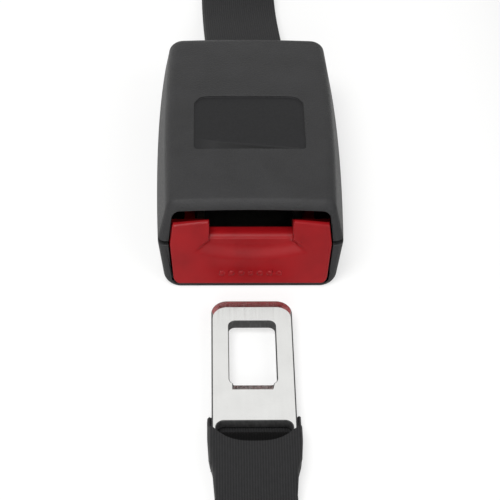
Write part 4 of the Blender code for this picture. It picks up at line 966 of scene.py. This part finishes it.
def blade_surface(settings):
    """Outlines of the stamped plate, from its lower face up: full ones, then one that ends short
    of the tip, so that a slope follows the tip's rounded corners."""
    radii, face_radii = (SLOT_R, SLOT_R, TIP_R, TIP_R), (SLOT_R, SLOT_R, 0.9 * TIP_R, 0.9 * TIP_R)
    edge = settings.edge_r
    full = plate_outline(PLATE_HALF, (PLATE_END_Y, PLATE_TIP_Y), radii)
    face = plate_outline(PLATE_HALF - edge, (PLATE_END_Y + edge, PLATE_TIP_Y - settings.lead), face_radii)
    under = plate_outline(PLATE_HALF - edge, (PLATE_END_Y + edge, PLATE_TIP_Y - edge), radii)
    to_tip = eased((full[:, 1] - PLATE_TIP_Y + 2 * TIP_R) / (2 * TIP_R))
    top = PLATE_TOP_Z - edge - (settings.lead_drop - edge) * to_tip
    rings = [np.insert(outline, 2, level, axis=1)
             for outline, level in ((under, PLATE_UNDER_Z), (full, PLATE_UNDER_Z + edge), (full, top),
                                    (face, PLATE_TOP_Z))]
    return np.stack(rings), skin(len(rings), len(full))


# Operators

class BELT_OT_stage(bpy.types.Operator):
    """Lay the floor, light the object and set the camera"""
    bl_idname = "belt.stage"
    bl_label = "Stage"

    def execute(self, context):
        settings = context.scene.belt_stage
        floor_rgb = tuple(settings.floor)
        mesh = bpy.data.meshes.new("floor")
        sides = (-FLOOR_HALF, FLOOR_HALF)
        mesh.from_pydata(np.insert(rectangle(sides, sides)[0], 2, 0, axis=1).tolist(), [], [(0, 1, 2, 3)])
        floor = bpy.data.objects.new("floor", mesh)
        context.scene.collection.objects.link(floor)
        paper, tree, shader, _ = start_material("matt_white_paper", floor_rgb,
                                                {"Roughness": 0.9, SHINE: 0.1})
        rays = add_node(tree, "ShaderNodeLightPath")
        shown = add_node(tree, "ShaderNodeMath", {1: FLOOR_GLOW}, {0: rays.outputs["Is Camera Ray"]},
                         operation="MULTIPLY")
        white = add_node(tree, "ShaderNodeEmission", {"Color": (1, 1, 1, 1), "Strength": 1.0})
        mixed = add_node(tree, "ShaderNodeMixShader", (), {0: shown.outputs[0], 1: shader.outputs[0],
                                                           2: white.outputs[0]})
        tree.links.new(mixed.outputs[0], tree.nodes["Material Output"].inputs["Surface"])
        mesh.materials.append(paper)

        world = bpy.data.worlds.new("soft_studio")
        context.scene.world = world
        world.use_nodes = True
        tree = world.node_tree
        tree.nodes.clear()
        rays = add_node(tree, "ShaderNodeLightPath")
        seen = rays.outputs["Is Camera Ray"]
        for kind in ("Is Glossy Ray", "Is Transmission Ray"):
            seen = add_node(tree, "ShaderNodeMath", (), {0: seen, 1: rays.outputs[kind]},
                            operation="MAXIMUM").outputs[0]
        light, shown = (add_node(tree, "ShaderNodeBackground", {"Color": (*rgb, 1), "Strength": strength})
                        for rgb, strength in (((1, 1, 1), settings.sky_level), (floor_rgb, 1.0)))
        mixed = add_node(tree, "ShaderNodeMixShader", (), {0: seen, 1: light.outputs[0],
                                                           2: shown.outputs[0]})
        add_node(tree, "ShaderNodeOutputWorld", (), {"Surface": mixed.outputs[0]})

        for name, at, size, power in LAMPS:
            lamp = bpy.data.lights.new(name, "AREA")
            lamp.shape = "DISK"
            lamp.size = size
            lamp.energy = getattr(settings, power)
            holder = bpy.data.objects.new(name, lamp)
            context.scene.collection.objects.link(holder)
            holder.location = at
            aim = Vector(LAMP_TARGET) - Vector(at)
            holder.rotation_euler = aim.to_track_quat("-Z", "Y").to_euler()

        elevation, yaw, roll = (math.radians(degrees)
                                for degrees in (settings.elevation, settings.yaw, settings.roll))
        back = Vector((math.sin(yaw) * math.cos(elevation), -math.cos(yaw) * math.cos(elevation),
                       math.sin(elevation)))
        right = Vector((math.cos(yaw), math.sin(yaw), 0))
        up = back.cross(right)
        right, up = (right * math.cos(roll) + up * math.sin(roll),
                     up * math.cos(roll) - right * math.sin(roll))
        target = Vector(CAMERA_TARGET) - CAMERA_SHIFT[0] * right - CAMERA_SHIFT[1] * up
        camera = bpy.data.objects.new("camera", bpy.data.cameras.new("camera"))
        context.scene.collection.objects.link(camera)
        camera.data.sensor_fit = "HORIZONTAL"
        camera.data.angle = math.radians(settings.view_angle)
        camera.data.clip_start = 0.01
        turn = Matrix((right, up, back)).transposed().to_4x4()
        camera.matrix_world = Matrix.Translation(target + settings.distance * back) @ turn
        context.scene.camera = camera
        context.scene.view_settings.view_transform = "Standard"
        return {"FINISHED"}


class BELT_OT_strap(bpy.types.Operator):
    """Weave the strap, its fold in the tongue's slot and its four rows of stitches"""
    bl_idname = "belt.strap"
    bl_label = "Strap and stitches"

    def execute(self, context):
        settings = context.scene.belt_strap
        webbing = woven_webbing(settings)
        thread = bonded_thread(settings)
        rings, faces, uv, centres = strap_surface(settings)
        strap = shape("webbing_strap", rings, faces, 50, uv)
        combine(strap, "DIFFERENCE", prism("bar_space", disc((BAR_Y, BAR_Z), BAR_R + GAP, 40), "X",
                                           -0.02, 0.02))
        place(strap, "body", "webbing", webbing, "strap")
        points, faces, uv = fold_surface(settings)
        fold = shape("webbing_fold", points, faces, 50, uv)
        # The fold gets the webbing at a fifth of its colour, sheen and shine: painted shade for the
        # shadowed turn in the slot
        place(fold, "body", "webbing", woven_webbing(settings, "creased_polyester_webbing", 0.2))
        for number, y in enumerate(STITCH_PLACES, 1):
            path, face = stitch_path(y, settings)
            points, faces = wire(path, settings.thread_r, 8, face)
            uv = weave_uv(np.arange(8) / 8, run_along(path))
            row = shape(f"stitching_{number}", points, faces, 60, uv)
            place(row, "body", "thread", thread, f"stitch_row_{number}")
        return {"FINISHED"}


class BELT_OT_housing(bpy.types.Operator):
    """Mould the two shells of the buckle, with the sunk panel, the seam and the screw seats"""
    bl_idname = "belt.housing"
    bl_label = "Housing"

    def execute(self, context):
        settings = context.scene.belt_housing
        black = make_finish("moulded_black_abs", settings.black)
        smooth = make_finish("smooth_black_abs", settings.panel)
        upper = housing_body("upper_moulding", settings)
        lower = housing_body("lower_moulding", settings)
        side, mouth_half = settings.half_seam + REACH, STRAP_HALF + MOUTH_SPARE
        mouth = rectangle((-mouth_half, mouth_half), (BAR_Z - MOUTH_BELOW, BAR_Z + MOUTH_ABOVE))
        mouth = rounded(mouth, np.full(4, MOUTH_R), 4)[0]
        for piece, low, high in ((upper, -REACH, SEAM_Z + settings.seam_gap / 2),
                                 (lower, SEAM_Z - settings.seam_gap / 2, settings.height + REACH)):
            combine(piece, "DIFFERENCE", housing_space(settings),
                    prism("strap_mouth", mouth, "Y", MOUTH_START_Y, REAR_Y + REACH),
                    block("other_side", (-side, side), (FRONT_Y - REACH, REAR_Y + REACH), (low, high)))
        combine(upper, "DIFFERENCE", panel_cutter(settings))
        screw_seats(upper, lower, settings)
        add_stops(lower, upper, settings)
        for piece, node in ((upper, "upper_shell"), (lower, "lower_shell")):
            place(piece, "body", "black_plastic", black, node)
            soften(piece, settings.edge_soft)
        x, y, z = per_face(upper, "center").T
        roof = crowned_roof_z(x, y, settings)
        inside = (np.abs(x) < PANEL_HALF) & (y > PANEL_Y[0]) & (y < PANEL_Y[1])
        inside &= (z < roof - 0.7 * settings.panel_depth) & (z > roof - 0.0015)
        second_finish(upper, smooth, inside & (per_face(upper, "normal")[:, 2] > LEVEL))
        return {"FINISHED"}


class BELT_OT_button(bpy.types.Operator):
    """Mould the red release button with its finger dish, notch, arms and pips"""
    bl_idname = "belt.button"
    bl_label = "Release button"

    def execute(self, context):
        settings = context.scene.belt_button
        housing = context.scene.belt_housing
        button = shape("red_release_button", *button_surface(settings, housing))
        half = housing.half_foot - FOOT_CORNER_WALL - SLIDE - BUTTON_SKIN
        rings = [np.insert(rectangle((-half, half), (face_y(z, housing) + BUTTON_WALL, 0))[0],
                           2, z, axis=1)
                 for z in (FLOOR + GAP + BUTTON_SKIN, MOUTH_FLOOR_Z - BUTTON_SKIN)]
        hollow = shape("hollow", np.stack(rings), skin(2, 4))
        turn = np.linspace(0, math.radians(82), 11)
        lip_y = face_y(MOUTH_FLOOR_Z - LIP_DROP, housing) + settings.dish_depth
        roll = np.stack([lip_y + LIP_ROLL * (1 - np.sin(turn)),
                         MOUTH_FLOOR_Z - LIP_DROP * (1 - np.cos(turn))], 1)
        under = MOUTH_FLOOR_Z - SHELF_DROP
        outline = np.vstack([[(0, housing.height), (0, under), (SHELF_END_Y + SHELF_CHAMFER, under),
                              (SHELF_END_Y, MOUTH_FLOOR_Z - SHELF_CHAMFER),
                              (SHELF_END_Y - SHELF_CHAMFER, MOUTH_FLOOR_Z)],
                             roll, [(FRONT_Y - REACH, roll[-1, 1]), (FRONT_Y - REACH, housing.height)]])
        notch = prism("notch", outline, "X", -NOTCH_HALF, NOTCH_HALF)
        back, floor_z = face_y(HORN_TOP_Z, housing) + HORN_WALL, MOUTH_FLOOR_Z + HAIR
        behind = prism("behind_horns", [(back, housing.height), (back, HORN_TOP_Z - HORN_BACK_DROP),
                                        (back + HORN_SLOPE, floor_z), (0, floor_z), (0, housing.height)],
                       "X", -ACROSS, ACROSS)
        combine(button, "DIFFERENCE", behind, hollow, notch)
        pin = solid_box("lock_pin")[2]
        for side in (-1, 1):
            combine(button, "UNION", block("arm", sorted(side * x for x in ARM_X), ARM_Y,
                                           (ARM_FOOT_Z, pin.z + ARM_RISE)))
        combine(button, "DIFFERENCE", prism("pin_hole", disc((pin.y, pin.z), PIN_HOLE_R, 28), "X",
                                            -ACROSS, ACROSS))
        combine(button, "UNION", shape("pips", *join(*pips(settings, housing))))
        place(button, "button", "red_plastic", make_finish("moulded_red_acetal", settings.red),
              "release_button")
        soften(button, BUTTON_SOFT, 55)
        return {"FINISHED"}


class BELT_OT_tongue(bpy.types.Operator):
    """Stamp and plate the tongue with its latch hole, strap slot and lead-in"""
    bl_idname = "belt.tongue"
    bl_label = "Tongue"

    def execute(self, context):
        settings = context.scene.belt_tongue
        plate = shape("tongue_blade", *blade_surface(settings))
        for name, half, y, radius in (("hole", HOLE_HALF, HOLE_Y, HOLE_R),
                                      ("slot", SLOT_HALF, SLOT_Y, SLOT_R)):
            combine(plate, "DIFFERENCE", prism(name, plate_outline(half, y, [radius] * 4, 10), "Z",
                                               PLATE_UNDER_Z - REACH, PLATE_TOP_Z + REACH))
        hole_y, fall = HOLE_Y[0], settings.lead_drop / settings.lead * COINED_STEEPER
        coined = [(hole_y - COINED, PLATE_TOP_Z), (hole_y + REACH, PLATE_TOP_Z - fall * (COINED + REACH)),
                  (hole_y + REACH, PLATE_TOP_Z + REACH), (hole_y - COINED, PLATE_TOP_Z + REACH)]
        combine(plate, "DIFFERENCE", prism("coined_edge", coined, "X", COINED_INSET - HOLE_HALF,
                                           HOLE_HALF - COINED_INSET))
        place(plate, "body", "bright_steel", make_finish("chromed_steel", settings.plating),
              "tongue_plate")
        second_finish(plate, make_finish("sheared_steel_edge", settings.sheared),
                      np.abs(per_face(plate, "normal")[:, 2]) < LEVEL)
        finish_shading(plate, 8.0)      # so that the shallow slopes keep their own reflections
        soften(plate, 0.6 * settings.edge_r, 60)
        plate.modifiers["softened_edges"].material = 1
        return {"FINISHED"}


class BELT_OT_springs(bpy.types.Operator):
    """Wind the springs of the button, the ejector and the latch"""
    bl_idname = "belt.springs"
    bl_label = "Springs"

    def execute(self, context):
        settings = context.scene.belt_inner
        steel = make_finish("drawn_spring_wire", settings.wire)
        for node, (joint, travel) in TRAVELS.items():
            button = joint == "button_slide"
            radius = settings.wire_r if button else settings.fine_wire_r
            turns = settings.button_turns if button else settings.ejector_turns
            path = coil_path(node, radius, turns)
            coil = shape(f"wound_{node}", *wire(path, radius, 10, (0, 1.0, 0)), 60)
            place(coil, "body", "spring_steel", steel, node)
            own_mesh(coil)
        self.wind_latch_spring(steel, settings.wire_r)
        cover(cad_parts["pivot_clip"], steel)
        return {"FINISHED"}

    def wind_latch_spring(self, steel, radius):
        """A leg under the latch, two and a quarter turns about its pivot and a tail on its post."""
        pivot = solid_box("latch_pivot_pin")[2]
        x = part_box("latch_spring")[0].x + radius
        t = np.linspace(0, 1, 73)
        turn = 2 * math.pi * (LATCH_TURNS * t - 0.25)
        coil = np.stack([x + LATCH_COIL_RUN * t, pivot.y + LATCH_COIL_R * np.cos(turn),
                         pivot.z + LATCH_COIL_R * np.sin(turn)], 1)
        under = LATCH_LEG * math.tan(LATCH_SWING) + LATCH_UNDER / math.cos(LATCH_SWING) + radius + GAP
        leg_end = np.array((x, pivot.y - LATCH_LEG, pivot.z - under))
        leg = leg_end + (coil[0] - leg_end) * np.linspace(0, 1, 12)[:-1, None]
        tail = coil[-1] - np.array((0, 0, LATCH_TAIL)) * np.linspace(0, 1, 8)[1:, None]
        path = np.vstack([leg, coil, tail])
        spring = shape("wound_latch_spring", *wire(path, radius, 10, (1.0, 0, 0)), 60)
        spring.data.materials.append(steel)
        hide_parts("latch_spring")
        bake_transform(spring)


class BELT_OT_inner_finishes(bpy.types.Operator):
    """Finish the pressed, turned and moulded pieces that keep the shape of their solids"""
    bl_idname = "belt.inner_finishes"
    bl_label = "Inner pieces"

    def execute(self, context):
        settings = context.scene.belt_inner
        finishes = {make_finish("zinc_plated_steel", settings.zinc):
                    ("steel_channel", "latch_pivot_pin", "strap_bar", "shell_screw_left",
                     "shell_screw_right", "lock_pin", "latch"),
                    make_finish("natural_acetal", settings.acetal): ("tongue_guide", "ejector")}
        for finish, nodes in finishes.items():
            for node in nodes:
                cover(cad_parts[node], finish)
        return {"FINISHED"}


class BELT_PT_extender(bpy.types.Panel):
    """Sizes, colours and building steps of the belt extender"""
    bl_idname = "BELT_PT_extender"
    bl_label = "Belt Extender"
    bl_space_type = "VIEW_3D"
    bl_region_type = "UI"
    bl_category = "Belt Extender"

    def draw(self, context):
        for operator, owner in STEPS:
            box = self.layout.box()
            box.operator(operator)
            if owner:
                group = getattr(context.scene, owner)
                for name in group.__annotations__:
                    box.prop(group, name)


GROUPS = {"belt_stage": StageSettings, "belt_strap": StrapSettings, "belt_housing": HousingSettings,
          "belt_button": ButtonSettings, "belt_tongue": TongueSettings, "belt_inner": InnerSettings}
STEPS = (("belt.stage", "belt_stage"), ("belt.strap", "belt_strap"), ("belt.housing", "belt_housing"),
         ("belt.button", "belt_button"), ("belt.tongue", "belt_tongue"), ("belt.springs", "belt_inner"),
         ("belt.inner_finishes", None))
CLASSES = (*GROUPS.values(), BELT_OT_stage, BELT_OT_strap, BELT_OT_housing, BELT_OT_button,
           BELT_OT_tongue, BELT_OT_springs, BELT_OT_inner_finishes, BELT_PT_extender)


def register():
    for kind in CLASSES:
        bpy.utils.register_class(kind)
    for name, group in GROUPS.items():
        setattr(bpy.types.Scene, name, bpy.props.PointerProperty(type=group))


def unregister():
    for name in GROUPS:
        delattr(bpy.types.Scene, name)
    for kind in reversed(CLASSES):
        bpy.utils.unregister_class(kind)


def main():
    register()
    bpy.ops.belt.stage()
    bpy.ops.belt.strap()
    bpy.ops.belt.housing()
    bpy.ops.belt.button()
    bpy.ops.belt.tongue()
    bpy.ops.belt.springs()
    bpy.ops.belt.inner_finishes()


if __name__ == "__main__":
    main()
